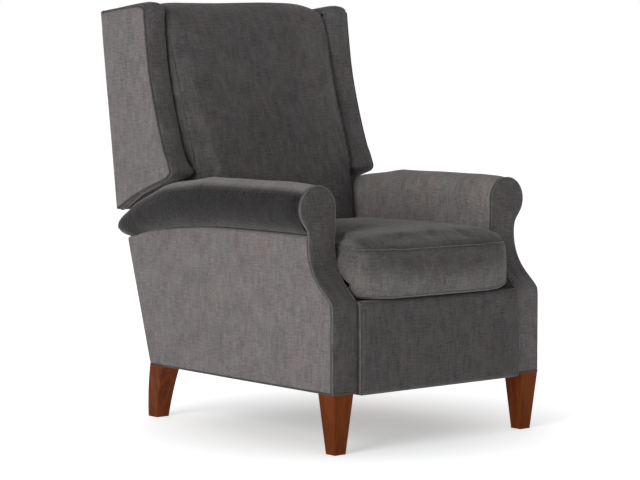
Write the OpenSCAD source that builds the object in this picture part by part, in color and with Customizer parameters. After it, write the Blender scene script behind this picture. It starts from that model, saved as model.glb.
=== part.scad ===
// Wingback push-back recliner on four tapered legs.
// The modules are drawn in a bench frame: x across the chair, y from the front of the arms to the back
// and z up from the floor. placed() then puts the origin under the middle of the whole chair.
// The back, seat and footrest are drawn closed, which is how the chair stands when nobody sits in it.

/* [Body] */
// Clear width between the two arms
seat_w = 514; // [440:1:600]
// Depth of the seat, from the front of the arms to the back of the seat cushion
seat_d = 572; // [540:1:640]
// Height of the body's underside above the floor
leg_h = 143; // [110:1:160]
// Height of the top of the seat frame
deck_h = 386; // [380:1:400]
// Height of the arm tops
arm_h = 631; // [600:1:680]
// Height of the top of the back
back_h = 1072; // [980:1:1140]

/* [Arms] */
// Thickness of an arm at its side panel
arm_t = 77; // [66:1:90]
// How far the rolled top stands out past the side panel
roll_out = 35; // [20:1:50]
// Height of the rolled top, from its crown to where it meets the side panel
roll_h = 122; // [100:1:140]
// How far the front of the rolled top stands back from the front of the arm
roll_back = 97; // [60:1:120]
// Thickness of the padded facing on the front of each arm
facing_t = 13; // [8:1:20]
// Thickness of the plywood panel inside each arm
arm_panel_t = 22; // [15:1:30]

/* [Legs] */
// Width of a leg where it meets the body
leg_top_w = 54; // [44:1:60]
// Width of a front leg at the floor
leg_foot_w = 28; // [20:1:40]
// Width of a rear leg at the floor
rear_foot_w = 35; // [24:1:42]
// How far a rear leg rakes backwards on its way down
rear_rake = 65; // [30:1:90]
// Radius of the hanger bolt that holds a leg
bolt_r = 4; // [3:0.5:6]

/* [Seat] */
// Gap between the seat cushion and an arm
cushion_gap = 7; // [4:1:12]
// Height of the top edge of the seat cushion above the seat frame
cushion_h = 113; // [90:1:130]
// How far the seat cushion stands out in front of the arms
cushion_out = 40; // [30:1:50]
// Height of the crown in the middle of the cushion
crown_h = 9; // [0:1:18]
// Height of the wooden seat rails
rail_h = 40; // [30:1:40]
// Thickness of the wooden seat rails
rail_t = 22; // [16:1:24]
// Thickness of the wire of the seat and back springs
wire_t = 3.6; // [2.5:0.1:5]

/* [Back] */
// Depth of the back at arm height, from the seat cushion to the outside back
back_d = 285; // [280:1:295]
// Backward lean of the back, in degrees
back_lean = 7.5; // [4:0.5:9]
// Depth of the back posts
post_d = 60; // [40:1:64]
// Thickness of the back posts
post_t = 23; // [18:1:26]
// Thickness of the outside back
outside_t = 12; // [8:1:16]
// Thickness of the plywood panel inside each wing
wing_panel_t = 15; // [9:1:24]
// Length of the wings at their top, from the outside back to their front edge
wing_top_d = 182; // [150:1:210]
// How far the back cushion stands proud in its middle
back_crown = 14; // [4:1:22]

/* [Mechanism] */
// Thickness of the steel plates and links
steel_t = 4; // [3:0.5:4.5]
// Width of the links
link_w = 20; // [16:1:22]
// Radius of the pivot pins
pin_r = 4; // [3:0.5:5]
// Length of the links that the seat swings on
swing_l = 100; // [80:1:110]
// Angle of those links at rest, above the horizontal, in degrees
swing_a = 35; // [28:1:42]
// Thickness of the footrest board
board_t = 9; // [6:1:9]
// Thickness of the padding on the footrest board
footpad_t = 32; // [20:1:36]

/* [Clearances] */
// Radial clearance of a pin in its hole
run_gap = 0.06; // [0.03:0.01:0.09]
// Gap between steel plates that slide past each other
plate_gap = 2.5; // [2:0.1:3]
// Radial clearance at the two pivots where the footrest linkage closes on itself
loop_gap = 3; // [2.6:0.1:3.4]
// Gap between a piece that moves and the arm beside it
side_gap = 3; // [2:0.5:4]
// Gap round a panel that is sealed in padding
seal_gap = 0.3; // [0.2:0.1:0.6]

/* [Hidden] */

// Finishes
fabric = [0.27, 0.26, 0.26];
fabric_side = [0.45, 0.44, 0.44];
stained_wood = [0.38, 0.18, 0.09];
plain_wood = [0.72, 0.58, 0.40];
steel = [0.35, 0.36, 0.38];
spring_steel = [0.55, 0.56, 0.58];
pin_steel = [0.75, 0.76, 0.78];
lining = [0.12, 0.12, 0.12];

// Across the chair
arm_in = seat_w / 2;
arm_out = arm_in + arm_t;
roll_edge = arm_out + roll_out;
moving_half = arm_in - side_gap;
cushion_half = arm_in - cushion_gap;

// Steel layers, each given by its outer face, from the arm inwards
mount_x = arm_in;
swing_x = mount_x - steel_t - plate_gap;
plate_x = swing_x - steel_t - plate_gap;
stay_x = plate_x - steel_t - plate_gap;
drive_x = stay_x - steel_t - plate_gap;
long_x = drive_x - steel_t - plate_gap;
rail_x = plate_x - steel_t;

// Along the chair: the rear line of the back and of the arms
lean = tan(back_lean);
rear_z = arm_h - 101;
function rear_y(z) = seat_d + back_d + (z - rear_z) * lean;
arm_rake = tan(17.3);
arm_heel_y = seat_d + 140;
function heel_y(z) = arm_heel_y + (z - leg_h) * arm_rake;
front_y = -17;
slab_top = back_h - 34;
back_end = rear_y(slab_top);
middle_y = (back_end - cushion_out) / 2;

// Heights between the arm top and the top of the back, 0 to 1
function up_back(u) = arm_h + u * (back_h - arm_h);

// Side profile of the arm
roll_rx = (roll_edge - arm_in) / 2;
roll_front_y = front_y + roll_back;
neck_z = arm_h - roll_h;
shoulder_z = 345;

// Thickness of the rear panels and radius of the steel round a pivot
slab_t = 15;
boss_r = 12;

// Seat swing pivots, [y, z]
seat_pin_z = deck_h - 94;
swing_step = [swing_l * cos(swing_a), swing_l * sin(swing_a)];
front_seat_pin = [232, seat_pin_z];
rear_seat_pin = [seat_d - 60, seat_pin_z];
front_base_pin = front_seat_pin - swing_step;
rear_base_pin = rear_seat_pin - swing_step;
back_pin_z = deck_h - 71;
back_pin = [heel_y(back_pin_z) - slab_t - boss_r - 8.5, back_pin_z];

// Footrest linkage pivots, closed, [y, z]
drive_pin = [96, deck_h - 57];
cross_pin = [40, deck_h - 53];
drive_end = [210, deck_h - 114];
cross_mid = [151.5, deck_h - 117];
cross_end = [171, deck_h - 128];
foot_low = [22, deck_h - 140.5];
foot_high = [24, deck_h - 103];

// Footrest panel
board_y = 0;
foot_top = deck_h - 36;

// Details of the build
head_r = pin_r + 3;
head_t = 2.2;
tube_r = 7;
cross_tube_r = 9;
loop_boss_r = pin_r + loop_gap + 3;
flange_w = 20;
lip_d = 64;
lip_z = deck_h - 30;
deck_t = 5;
skirt_z = deck_h + 14;
wing_low_z = arm_h - 98;

module placed() translate([0, -middle_y, 0]) children();

module both_sides() {
    children();
    mirror([1, 0, 0]) children();
}

// A flat plate with its outer face at x and its outline in the y-z plane
module side_plate(x, t) {
    translate([x - t, 0, 0]) rotate([90, 0, 90]) linear_extrude(t) children();
}

// A round bar across the chair from x0 to x1 through the pivot p
module cross_bar(p, x0, x1, r) {
    translate([x0, p[0], p[1]]) rotate([0, 90, 0]) cylinder(h = x1 - x0, r = r, $fn = 48);
}

// Outline of a link between two pivots, with round ends
module link_shape(a, b, w) {
    d = b - a;
    reach = norm(d);
    translate(a) rotate(atan2(d[1], d[0])) {
        translate([0, -w / 2]) square([reach, w]);
        circle(r = w / 2, $fn = 48);
        translate([reach, 0]) circle(r = w / 2, $fn = 48);
    }
}

module hole_at(p, r) {
    translate(p) circle(r = r, $fn = 48);
}

// A pin from x0 out to x1, with a flat head at each end
module headed_pin(p, x0, x1) {
    cross_bar(p, x0 - head_t, x1 + head_t, pin_r);
    cross_bar(p, x0 - head_t, x0, head_r);
    cross_bar(p, x1, x1 + head_t, head_r);
}

// Smooth open curve through the points, with n steps to each span
function at_end(v, i) = v[max(0, min(len(v) - 1, i))];
function bend(a, b, c, d, t) = 0.5 * (2 * b + (c - a) * t + (2 * a - 5 * b + 4 * c - d) * t * t
                                      + (3 * b - a - 3 * c + d) * t * t * t);
function smooth(v, n) = [
    for (i = [0 : len(v) - 2]) for (k = [0 : n - 1])
        bend(at_end(v, i - 1), v[i], v[i + 1], at_end(v, i + 2), k / n),
    v[len(v) - 1]];

// Value of a curve given as [along, value] points, between them by straight lines
function between(v, s, i = 0) =
    s <= v[0][0] ? v[0][1] :
    i >= len(v) - 1 ? v[len(v) - 1][1] :
    s <= v[i + 1][0] ? v[i][1] + (v[i + 1][1] - v[i][1]) * (s - v[i][0]) / (v[i + 1][0] - v[i][0]) :
    between(v, s, i + 1);

// A closed outline moved inwards by d along its own normals; it runs anticlockwise
function inward(v, i) =
    let (n = len(v), a = v[(i + n - 1) % n], b = v[(i + 1) % n], d = b - a)
    [-d[1], d[0]] / max(norm(d), 0.001);
function inset(v, d) = [for (i = [0 : len(v) - 1]) v[i] + d * inward(v, i)];

// Solid through rings of equal length; they run anticlockwise seen from the far end
module skin(rings) {
    n = len(rings[0]);
    m = len(rings);
    sides = [for (i = [0 : m - 2]) for (j = [0 : n - 1])
        let (a = i * n + j, b = i * n + (j + 1) % n)
        each [[a, a + n, b + n], [a, b + n, b]]];
    near = [for (j = [0 : n - 1]) j];
    far = [for (j = [0 : n - 1]) m * n - 1 - j];
    polyhedron(points = [for (r = rings) each r], faces = concat([near], sides, [far]));
}
function ring_x(v, x) = [for (p = v) [x, p[0], p[1]]];
function ring_y(v, y) = [for (i = [len(v) - 1 : -1 : 0]) [v[i][0], y, v[i][1]]];

// Rounded rectangle as points, anticlockwise, k steps to each corner
function round_box(x0, z0, x1, z1, r, k) = [
    for (c = [[x1 - r, z1 - r, 0], [x0 + r, z1 - r, 90], [x0 + r, z0 + r, 180], [x1 - r, z0 + r, 270]])
        for (i = [0 : k]) [c[0] + r * cos(c[2] + 90 * i / k), c[1] + r * sin(c[2] + 90 * i / k)]];

// Arms

// Height of the arm top along the chair
function arm_top(y) = between([
    [roll_front_y, arm_h - 4], [roll_front_y + 90, arm_h], [seat_d - 92, arm_h],
    [seat_d - 42, arm_h - 8], [seat_d + 42, arm_h - 16], [seat_d + 85, arm_h - 26],
    [seat_d + 203, arm_h - 72], [tail_y + 45, arm_h - 120], [tail_y + 80, arm_h - 141]], y);
// Height where the roll meets the side panel
function arm_neck(y) = between([
    [seat_d - 160, neck_z], [seat_d + 20, neck_z - 11], [seat_d + 165, neck_z - 28],
    [seat_d + 234, neck_z - 45], [seat_d + 320, neck_z - 52]], y);
// How far the roll stands out past the side panel
function arm_roll(y) = between([
    [seat_d, roll_out], [seat_d + 165, roll_out * 0.72], [seat_d + 320, roll_out * 0.35]], y);

// How much of the arm's tail is rounded away, 0 to 1
tail_y = seat_d + 240;
tail_len = 72;
function tail(y) = 1 - sqrt(1 - pow(min(1, max(0, (y - tail_y) / tail_len)), 2));

// Front edge of the arm from the side, [y, z], from the underside up
function arm_front(dy) = concat([[front_y + dy, leg_h - 1]], smooth([
    [front_y + dy, shoulder_z], [front_y + 10 + dy, shoulder_z + 18],
    [front_y + 0.48 * roll_back + dy, shoulder_z + 52],
    [front_y + 0.83 * roll_back + dy, shoulder_z + 92],
    [roll_front_y - 2 + dy, shoulder_z + 136], [roll_front_y + dy, neck_z],
    [roll_front_y + dy, arm_h + 4]], 4));

module arm_side(dy) {
    polygon(concat(arm_front(dy), [
        [tail_y + 62, arm_h + 4], [tail_y + 66, arm_h - 136], [tail_y + 62, arm_h - 150],
        [tail_y + 44, arm_h - 161], [heel_y(arm_h - 168), arm_h - 168], [arm_heel_y, leg_h]]));
}

// Cross-section of the right arm at a distance y along it, [x, z]
function arm_ring(y) =
    let (top = arm_top(y), neck = arm_neck(y), out = arm_out + arm_roll(y) - 50 * tail(y),
         near = arm_in + 20 * tail(y), side = min(arm_out, out - 1),
         rz = (top - neck) / 2, cz = neck + rz, cx = (near + out) / 2, rx = (out - near) / 2)
    concat([[side, leg_h], [side, neck - 6]],
        [for (a = [-62 : 22 : 180]) [cx + rx * cos(a), cz + rz * sin(a)]],
        [[near, cz], [near, leg_h]]);

module arm_body() {
    ys = [-30, 0, 60, 100, 170, 300, seat_d - 92, seat_d - 42, seat_d + 10, seat_d + 50, seat_d + 85,
          seat_d + 120, seat_d + 165, seat_d + 203, tail_y, tail_y + 26, tail_y + 45, tail_y + 58,
          tail_y + 68];
    skin([for (y = ys) ring_y(arm_ring(y), y)]);
}

arm_panel_x = (arm_in + arm_out + arm_panel_t) / 2;
arm_panel_path = [
    [arm_heel_y - 14, leg_h], [heel_y(arm_h - 180) - 14, arm_h - 180], [tail_y + 4, arm_h - 146],
    [seat_d + 200, arm_h - 118], [seat_d + 30, arm_h - 50], [roll_front_y + facing_t + 12, arm_h - 40],
    [roll_front_y + facing_t + 12, neck_z],
    [front_y + 0.83 * roll_back + facing_t + 14, shoulder_z + 92],
    [front_y + 0.48 * roll_back + facing_t + 14, shoulder_z + 52],
    [front_y + facing_t + 12, shoulder_z],
    [front_y + facing_t + 12, leg_h]];

module arm_cover() {
    difference() {
        intersection() {
            arm_body();
            side_plate(roll_edge + 5, roll_edge - arm_in + 10) arm_side(facing_t);
        }
        side_plate(arm_panel_x + seal_gap, arm_panel_t + 2 * seal_gap)
            polygon(inset(arm_panel_path, -seal_gap));
    }
}

module arm_panel() {
    difference() {
        side_plate(arm_panel_x, arm_panel_t) polygon(arm_panel_path);
        for (p = bolt_places) translate([p[0], p[1], leg_h - 1])
            cylinder(h = bolt_up + 1 + run_gap, r = bolt_r + run_gap, $fn = 32);
    }
}

// Keyhole outline of the facing, [x, z]
module facing_shape() {
    roll_rz = (arm_top(roll_front_y) - neck_z) / 2;
    translate([arm_in + roll_rx, neck_z + roll_rz]) scale([roll_rx, roll_rz]) circle(r = 1, $fn = 64);
    polygon([[arm_in + 5, leg_h], [arm_out - 1, leg_h], [arm_out - 1, neck_z + 22],
             [arm_in, neck_z + 50], [arm_in, neck_z - 20], [arm_in + 5, shoulder_z]]);
}

module arm_facing() {
    intersection() {
        translate([0, 200, 0]) rotate([90, 0, 0]) linear_extrude(300) facing_shape();
        side_plate(roll_edge + 5, roll_edge - arm_in + 10) difference() {
            polygon(concat(arm_front(0), [[150, arm_h + 4], [150, leg_h - 1]]));
            polygon(concat(arm_front(facing_t), [[200, arm_h + 4], [200, leg_h - 1]]));
        }
    }
}

// Legs
bolt_up = 60;
bolt_down = 36;
front_leg = [arm_out - 32, 13.5];
rear_leg = [arm_out - 27, seat_d + 113];
front_bolt = [arm_panel_x - arm_panel_t / 2, front_leg[1] + 6];
rear_bolt = [arm_panel_x - arm_panel_t / 2, rear_leg[1] + 4];
bolt_places = [front_bolt, rear_bolt];

module leg_bore(p) {
    translate([p[0], p[1], leg_h - bolt_down - run_gap])
        cylinder(h = bolt_down + 2, r = bolt_r + run_gap, $fn = 32);
}

// Square taper with a small bevel on each edge
module front_leg_shape() {
    t = leg_top_w / 2;
    f = leg_foot_w / 2;
    bevel = 3;
    intersection() {
        rotate([90, 0, 0]) translate([0, 0, -t])
            linear_extrude(2 * t) polygon([[-t, leg_h], [-f, 0], [f, 0], [t, leg_h]]);
        rotate([90, 0, 90]) translate([0, 0, -t])
            linear_extrude(2 * t) polygon([[-t, leg_h], [-f, 0], [f, 0], [t, leg_h]]);
        rotate([0, 0, 45]) rotate([90, 0, 0]) translate([0, 0, -2 * t]) linear_extrude(4 * t)
            polygon([[bevel - 1.4142 * t, leg_h], [bevel - 1.4142 * f, 0],
                     [1.4142 * f - bevel, 0], [1.4142 * t - bevel, leg_h]]);
        rotate([0, 0, -45]) rotate([90, 0, 0]) translate([0, 0, -2 * t]) linear_extrude(4 * t)
            polygon([[bevel - 1.4142 * t, leg_h], [bevel - 1.4142 * f, 0],
                     [1.4142 * f - bevel, 0], [1.4142 * t - bevel, leg_h]]);
    }
}

module front_leg_piece() {
    difference() {
        translate([front_leg[0], front_leg[1], 0]) front_leg_shape();
        leg_bore(front_bolt);
    }
}

// Rear leg: a rounded square that narrows and sweeps backwards
module rear_leg_piece() {
    rings = [for (k = [0 : 6]) let (u = k / 6, w = (rear_foot_w + (leg_top_w - rear_foot_w) * u) / 2,
                                    y = rear_leg[1] + rear_rake * (1 - u) * (1.25 - 0.25 * (1 - u)),
                                    x = rear_leg[0] - 25 * (1 - u))
        [for (p = round_box(x - w, y - w, x + w, y + w, w * 0.42, 4)) [p[0], p[1], u * leg_h]]];
    difference() {
        skin(rings);
        leg_bore(rear_bolt);
    }
}

module leg_bolts() {
    color(pin_steel) placed() both_sides() for (p = bolt_places)
        translate([p[0], p[1], leg_h - bolt_down]) cylinder(h = bolt_down + bolt_up, r = bolt_r, $fn = 32);
}

// Rails and rear panel of the base
module front_rail() {
    color(plain_wood) placed() translate([-arm_in, 42, leg_h + 2]) cube([2 * arm_in, 52, 22]);
}

module rear_rail() {
    h = 44;
    color(plain_wood) placed() side_plate(arm_in, 2 * arm_in) polygon([
        [arm_heel_y - 70, leg_h + 2], [heel_y(leg_h + 2) - slab_t, leg_h + 2],
        [heel_y(leg_h + 2 + h) - slab_t, leg_h + 2 + h], [arm_heel_y - 70, leg_h + 2 + h]]);
}

module lower_rear_panel() {
    top = deck_h;
    color(fabric_side) placed() side_plate(arm_in, 2 * arm_in) polygon([
        [heel_y(leg_h) - slab_t, leg_h], [heel_y(leg_h) - 2, leg_h], [heel_y(leg_h + 3), leg_h + 3],
        [heel_y(top - 4), top - 4], [heel_y(top) - 4, top], [heel_y(top) - slab_t, top]]);
}

// Steel rail on the inner face of each arm, which the seat swings from
module mounting_rail() {
    low = front_base_pin[1] - 24;
    high = front_base_pin[1] + 20;
    difference() {
        union() {
            side_plate(mount_x, steel_t) polygon([
                [front_base_pin[0] - 30, low], [rear_base_pin[0] + 60, low],
                [rear_base_pin[0] + 60, high - 12], [rear_base_pin[0] + 40, high],
                [front_base_pin[0] - 20, high], [front_base_pin[0] - 30, high - 12]]);
            translate([plate_x, front_base_pin[0] - 30, low])
                cube([mount_x - plate_x - steel_t / 2, rear_base_pin[0] - front_base_pin[0] + 90, steel_t]);
        }
        for (p = [front_base_pin, rear_base_pin])
            cross_bar(p, mount_x - steel_t - 5, mount_x + 5, pin_r + run_gap);
        for (y = [front_base_pin[0] + 60 : 55 : rear_base_pin[0] - 40])
            cross_bar([y, front_base_pin[1]], mount_x - steel_t - 5, mount_x + 5, 7);
    }
}

module mounting_pins() {
    color(pin_steel) placed() both_sides() for (p = [front_base_pin, rear_base_pin]) {
        cross_bar(p, swing_x - steel_t - head_t, mount_x, pin_r);
        cross_bar(p, swing_x - steel_t - head_t, swing_x - steel_t, head_r);
        cross_bar(p, swing_x + 0.2, mount_x - steel_t - 0.2, head_r);
    }
}

// Links that the seat swings on
module swing_link(a, b) {
    side_plate(swing_x, steel_t) difference() {
        link_shape(a, b, link_w + 4);
        hole_at(a, pin_r + run_gap);
        hole_at(b, pin_r + run_gap);
    }
}

module front_swing_links() {
    color(steel) placed() both_sides() swing_link(front_base_pin, front_seat_pin);
}

module rear_swing_links() {
    color(steel) placed() both_sides() swing_link(rear_base_pin, rear_seat_pin);
}

// Steel plate each side of the seat, which carries every other pivot
module seat_plate() {
    top = deck_h - 8;
    end = boss_r + 1;
    difference() {
        side_plate(plate_x, steel_t) polygon([
            [cross_pin[0] - end, cross_pin[1] - 4], [cross_pin[0] - end, top - 6],
            [cross_pin[0] - end + 6, top], [seat_d + 14, top], [seat_d + 30, back_pin[1] + 26],
            [back_pin[0], back_pin[1] + end], [back_pin[0] + 9, back_pin[1] + 9],
            [back_pin[0] + end, back_pin[1]], [back_pin[0] + 9, back_pin[1] - 9],
            [back_pin[0], back_pin[1] - end], [seat_d, seat_pin_z - 14],
            [front_seat_pin[0] - 16, seat_pin_z - 14], [drive_pin[0] + 40, drive_pin[1] - end],
            [cross_pin[0] - 4, cross_pin[1] - end]]);
        for (p = [cross_pin, drive_pin, back_pin, front_seat_pin, rear_seat_pin])
            plate_hole(p, pin_r + run_gap);
        plate_hole([seat_d - 12, seat_pin_z + 12], cross_tube_r + run_gap);
        for (y = [front_seat_pin[0] + 45 : 50 : rear_seat_pin[0] - 30])
            plate_hole([y, seat_pin_z + 26], 14);
    }
}

module plate_hole(p, r) cross_bar(p, plate_x - steel_t - 5, plate_x + 5, r);

module seat_plate_pins() {
    color(pin_steel) placed() both_sides() {
        for (p = [front_seat_pin, rear_seat_pin]) {
            cross_bar(p, plate_x - steel_t, swing_x + 0.5, pin_r);
            cross_bar(p, plate_x - steel_t - head_t, plate_x - steel_t, head_r);
            cross_bar(p, plate_x + 0.2, swing_x - steel_t - 0.2, head_r);
            cross_bar(p, swing_x + 0.2, swing_x + 1.6, head_r);
        }
        for (p = [drive_pin, cross_pin]) {
            cross_bar(p, drive_x - steel_t - head_t, plate_x, pin_r);
            cross_bar(p, drive_x - steel_t - head_t, drive_x - steel_t, head_r);
            cross_bar(p, drive_x + 0.2, plate_x - steel_t - 0.2, head_r);
        }
        cross_bar(back_pin, bracket_x - steel_t - head_t, plate_x + head_t, pin_r);
        cross_bar(back_pin, bracket_x - steel_t - head_t, bracket_x - steel_t, head_r);
        cross_bar(back_pin, bracket_x + 0.2, plate_x - steel_t - 0.2, head_r);
        cross_bar(back_pin, plate_x, plate_x + head_t, head_r);
    }
}

module seat_cross_tube() {
    color(steel) placed() difference() {
        cross_bar([seat_d - 12, seat_pin_z + 12], -plate_x, plate_x, cross_tube_r);
        cross_bar([seat_d - 12, seat_pin_z + 12], -plate_x - 1, plate_x + 1, cross_tube_r - 2);
    }
}

// Seat frame
seat_front = 30;
module seat_side_rails() {
    color(plain_wood) placed() both_sides()
        translate([rail_x - rail_t, seat_front, deck_h - rail_h])
            cube([rail_t, seat_d + 18 - seat_front, rail_h]);
}

module seat_cross_rails() {
    inner = rail_x - rail_t;
    color(plain_wood) placed() for (y = [seat_front, seat_d + 18 - rail_t])
        translate([-inner, y, deck_h - rail_h]) cube([2 * inner, rail_t, rail_h]);
}

// Sinuous spring as a flat wire: bars joined by half rings, along y from 0 to len
module sinuous(len, w) {
    count = floor(len / 33);
    step = len / count;
    r = step / 2;
    bar = w - 2 * r;
    lap = 0.2;
    linear_extrude(wire_t) {
        for (i = [0 : count]) translate([-bar / 2 - lap, i * step - wire_t / 2])
            square([bar + 2 * lap, wire_t]);
        for (i = [0 : count - 1]) translate([(i % 2 == 0 ? 1 : -1) * bar / 2, (i + 0.5) * step])
            rotate(i % 2 == 0 ? -90 : 90) difference() {
                circle(r = r + wire_t / 2, $fn = 32);
                circle(r = r - wire_t / 2, $fn = 32);
                translate([-2 * r, -4 * r]) square([4 * r, 4 * r]);
            }
    }
}

module seat_springs() {
    inner = rail_x - rail_t;
    color(spring_steel) placed() for (i = [-1.5 : 1 : 1.5])
        translate([i * inner / 2.2, seat_front + rail_t / 2, deck_h]) sinuous(seat_d + 18 - seat_front - rail_t, 52);
}

module seat_deck() {
    color(lining) placed() translate([-rail_x, seat_front, deck_h + wire_t])
        cube([2 * rail_x, seat_d + 18 - seat_front, deck_t]);
}

// Seat cushion: a crowned pillow with drawn-in sides, and a lip that hides the front rail
cushion_low = deck_h + wire_t + deck_t;
cushion_top = deck_h + cushion_h;
function side_share(x) = abs(x) / cushion_half;
function cushion_front(s) = -cushion_out + 6 * s * s + 52 * (1 - pow(1 - pow(s, 14), 0.5));
function cushion_ring(x) =
    let (s = side_share(x), e = 1 - pow(1 - pow(s, 12), 0.6), f = cushion_front(s),
         top = cushion_top + crown_h * (1 - pow(s, 4)) - 7 * e, low = lip_z + 32 * e,
         back = seat_d - 10 * e)
    concat(
        [[seat_front - 6, low], [f + 26, low]],
        smooth([[f + 13, low + 6], [f + 3, low + 30], [f, (low + cushion_top) / 2],
                [f + 3, cushion_top - 36], [f + 10, cushion_top - 18]], 2),
        smooth([[f + 16, cushion_top - 10], [f + 34, cushion_top - 2], [f + 110, top - 2], [f + 280, top],
                [back - 130, top - 2], [back - 34, cushion_top - 4], [back - 8, cushion_top - 16]], 2),
        [[back, (cushion_low + cushion_top) / 2], [back - 8, cushion_low + 8], [back - 20, cushion_low],
         [seat_front - 6, cushion_low]]);
stations = [1, 0.985, 0.96, 0.91, 0.83, 0.68, 0.45, 0.2];
function both_ways(v) = concat([for (s = v) -s], [for (i = [len(v) - 1 : -1 : 0]) v[i]]);

module seat_cushion() {
    color(fabric) placed()
        skin([for (s = both_ways(stations)) ring_x(flip(cushion_ring(s * cushion_half)), s * cushion_half)]);
}
function flip(v) = [for (i = [len(v) - 1 : -1 : 0]) v[i]];

// Back frame
bracket_x = plate_x - steel_t - 9;
post_x = moving_half;
spring_gap = wire_t + 0.5;
function post_rear(z) = rear_y(z) - outside_t;
post_low = skirt_z + 2;
post_high = slab_top - 10;
post_foot_y = back_pin[0] + 4;
post_lean = atan((post_rear(post_high) - post_d - post_foot_y) / (post_high - post_low));
function post_front(z) = post_foot_y + (z - post_low) * tan(post_lean);
// Front face of the skirt that closes the back below the wings
bend_z = (skirt_z + wing_low_z) / 2;
skirt_front = [[heel_y(skirt_z) - slab_t, skirt_z], [heel_y(bend_z) - slab_t + 2, bend_z],
               [post_rear(wing_low_z + 1) + seal_gap, wing_low_z + 1]];

module back_posts() {
    color(plain_wood) placed() both_sides() side_plate(post_x, post_t) polygon([
        [post_foot_y, post_low], [heel_y(post_low) - slab_t - seal_gap, post_low],
        [skirt_front[1][0] - seal_gap, bend_z], [post_rear(wing_low_z + 1), wing_low_z + 1],
        [post_rear(post_high), post_high], [post_front(post_high), post_high]]);
}

// The middle rail stands back, clear of the springs when they give
module back_rails() {
    h = 50;
    t = 22;
    set_back = 26;
    for (r = [[post_low, 0, bracket_x - steel_t], [up_back(0.28), set_back, post_x - post_t],
              [post_high - h, 0, post_x - post_t]])
        color(plain_wood) placed() side_plate(r[2], 2 * r[2]) polygon([
            [post_front(r[0]) + r[1], r[0]], [post_front(r[0]) + r[1] + t, r[0]],
            [post_front(r[0] + h) + r[1] + t, r[0] + h], [post_front(r[0] + h) + r[1], r[0] + h]]);
}

// Steel bracket on each post, which hangs the back on the seat plates
module back_brackets() {
    lift = post_low + 70;
    color(steel) placed() both_sides() difference() {
        side_plate(bracket_x, steel_t) union() {
            hole_at(back_pin, boss_r + 2);
            polygon([[back_pin[0] - 14, back_pin[1]], [back_pin[0] + 14, back_pin[1]],
                     [post_front(lift) + 34, lift], [post_front(lift) + 3, lift],
                     [post_front(post_low) + 3, post_low - 2]]);
        }
        cross_bar(back_pin, bracket_x - steel_t - 5, bracket_x + 5, pin_r + run_gap);
    }
}

module back_springs() {
    foot_z = post_low + 25;
    len = (post_high - 25 - foot_z) / cos(post_lean);
    color(spring_steel) placed() for (i = [-1.5 : 1 : 1.5])
        translate([i * post_x / 2.3, post_front(foot_z), foot_z]) rotate([90 - post_lean, 0, 0])
            sinuous(len, 52);
}

// Back cushion: fuller at the loins, crowned across and rolled over at the top
function back_side(s) = 1 - pow(s, 6);
function back_front(s) =
    let (c = back_crown * back_side(s))
    smooth([[seat_d + 24 - c * 0.2, skirt_z + 14], [seat_d + 14 - c * 0.5, arm_h - 132],
            [seat_d + 24 - c, arm_h - 31], [seat_d + 41 - c, up_back(0.054)],
            [seat_d + 75 - c, up_back(0.277)], [seat_d + 126 - c, up_back(0.617)],
            [seat_d + 157 - c, up_back(0.868)], [seat_d + 176 - c * 0.7, up_back(0.96)]], 2);
function back_ring(s) =
    let (t = back_h - 10 + 10 * back_side(s) * min(1, back_crown / 10))
    concat([[seat_d + 40, skirt_z + 4]], [for (p = back_front(s)) p],
        [[seat_d + 192, t - 3], [seat_d + 216, t], [seat_d + 270, t - 8],
         [post_rear(slab_top) - 16, slab_top + 6], [post_rear(slab_top) - 1, slab_top - 4],
         [post_rear(post_high) - 1, post_high + 0.5], [post_front(post_high) - spring_gap, post_high + 0.5],
         [post_front(skirt_z + 4) - spring_gap, skirt_z + 4]]);
module back_cushion() {
    color(fabric) placed()
        skin([for (s = both_ways(stations)) ring_x(flip(back_ring(s)), s * moving_half)]);
}

// Wings
wing_in = moving_half + seal_gap;
wing_out = arm_out - 1;
wing_top_z = back_h - 19;
wing_tip_z = arm_h + 14;
wing_tip_y = seat_d + 51;
function wing_top_y() = rear_y(wing_top_z - 15) - wing_top_d - 8;
function wing_edge(u) = [wing_tip_y + (wing_top_y() - wing_tip_y) * sin(90 * pow(u, 0.9)),
                         wing_tip_z + u * (wing_top_z - wing_tip_z)];
wing_path = concat(
    [[seat_d + 66, arm_h - 6], [seat_d + 168, arm_h - 38], [seat_d + 260, arm_h - 84],
     [post_rear(wing_low_z) - 10, wing_low_z], [post_rear(wing_low_z + 10), wing_low_z + 10],
     [post_rear(slab_top - 12), slab_top - 12], [post_rear(slab_top) - 3, slab_top]],
    [[wing_top_y() + 100, wing_top_z - 9], [wing_top_y() + 16, wing_top_z]],
    [for (k = [10 : -1 : 0]) wing_edge(0.985 * k / 10)],
    [[seat_d + 52, arm_h + 3]]);

module wing_cover() {
    steps = [[0, 4.5], [2, 2], [7, 0.6], [14, 0], [-6, 0], [-1.5, 0.8], [0, 2.5]];
    rings = [for (i = [0 : 6]) let (x = i < 4 ? wing_in + steps[i][0] : wing_out + steps[i][0])
        ring_x(inset(wing_path, steps[i][1]), x)];
    difference() {
        skin(rings);
        side_plate(wing_panel_x + seal_gap, wing_panel_t + 2 * seal_gap)
            polygon(inset(wing_panel_path, -seal_gap));
    }
}
wing_panel_x = (wing_in + wing_out + wing_panel_t) / 2;

// The wing's panel runs out at its rear edge, where the outside back covers it
wing_panel_path = concat(
    [[post_rear(wing_low_z + 40) - post_d, wing_low_z + 60], [post_rear(wing_low_z + 44), wing_low_z + 44],
     [post_rear(back_h - 52), back_h - 52], [wing_top_y() + 30, wing_top_z - 24]],
    [for (k = [9 : -1 : 2]) wing_edge(k / 10) + [20, 0]]);
module wing_panel() {
    side_plate(wing_panel_x, wing_panel_t) polygon(wing_panel_path);
}

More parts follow.
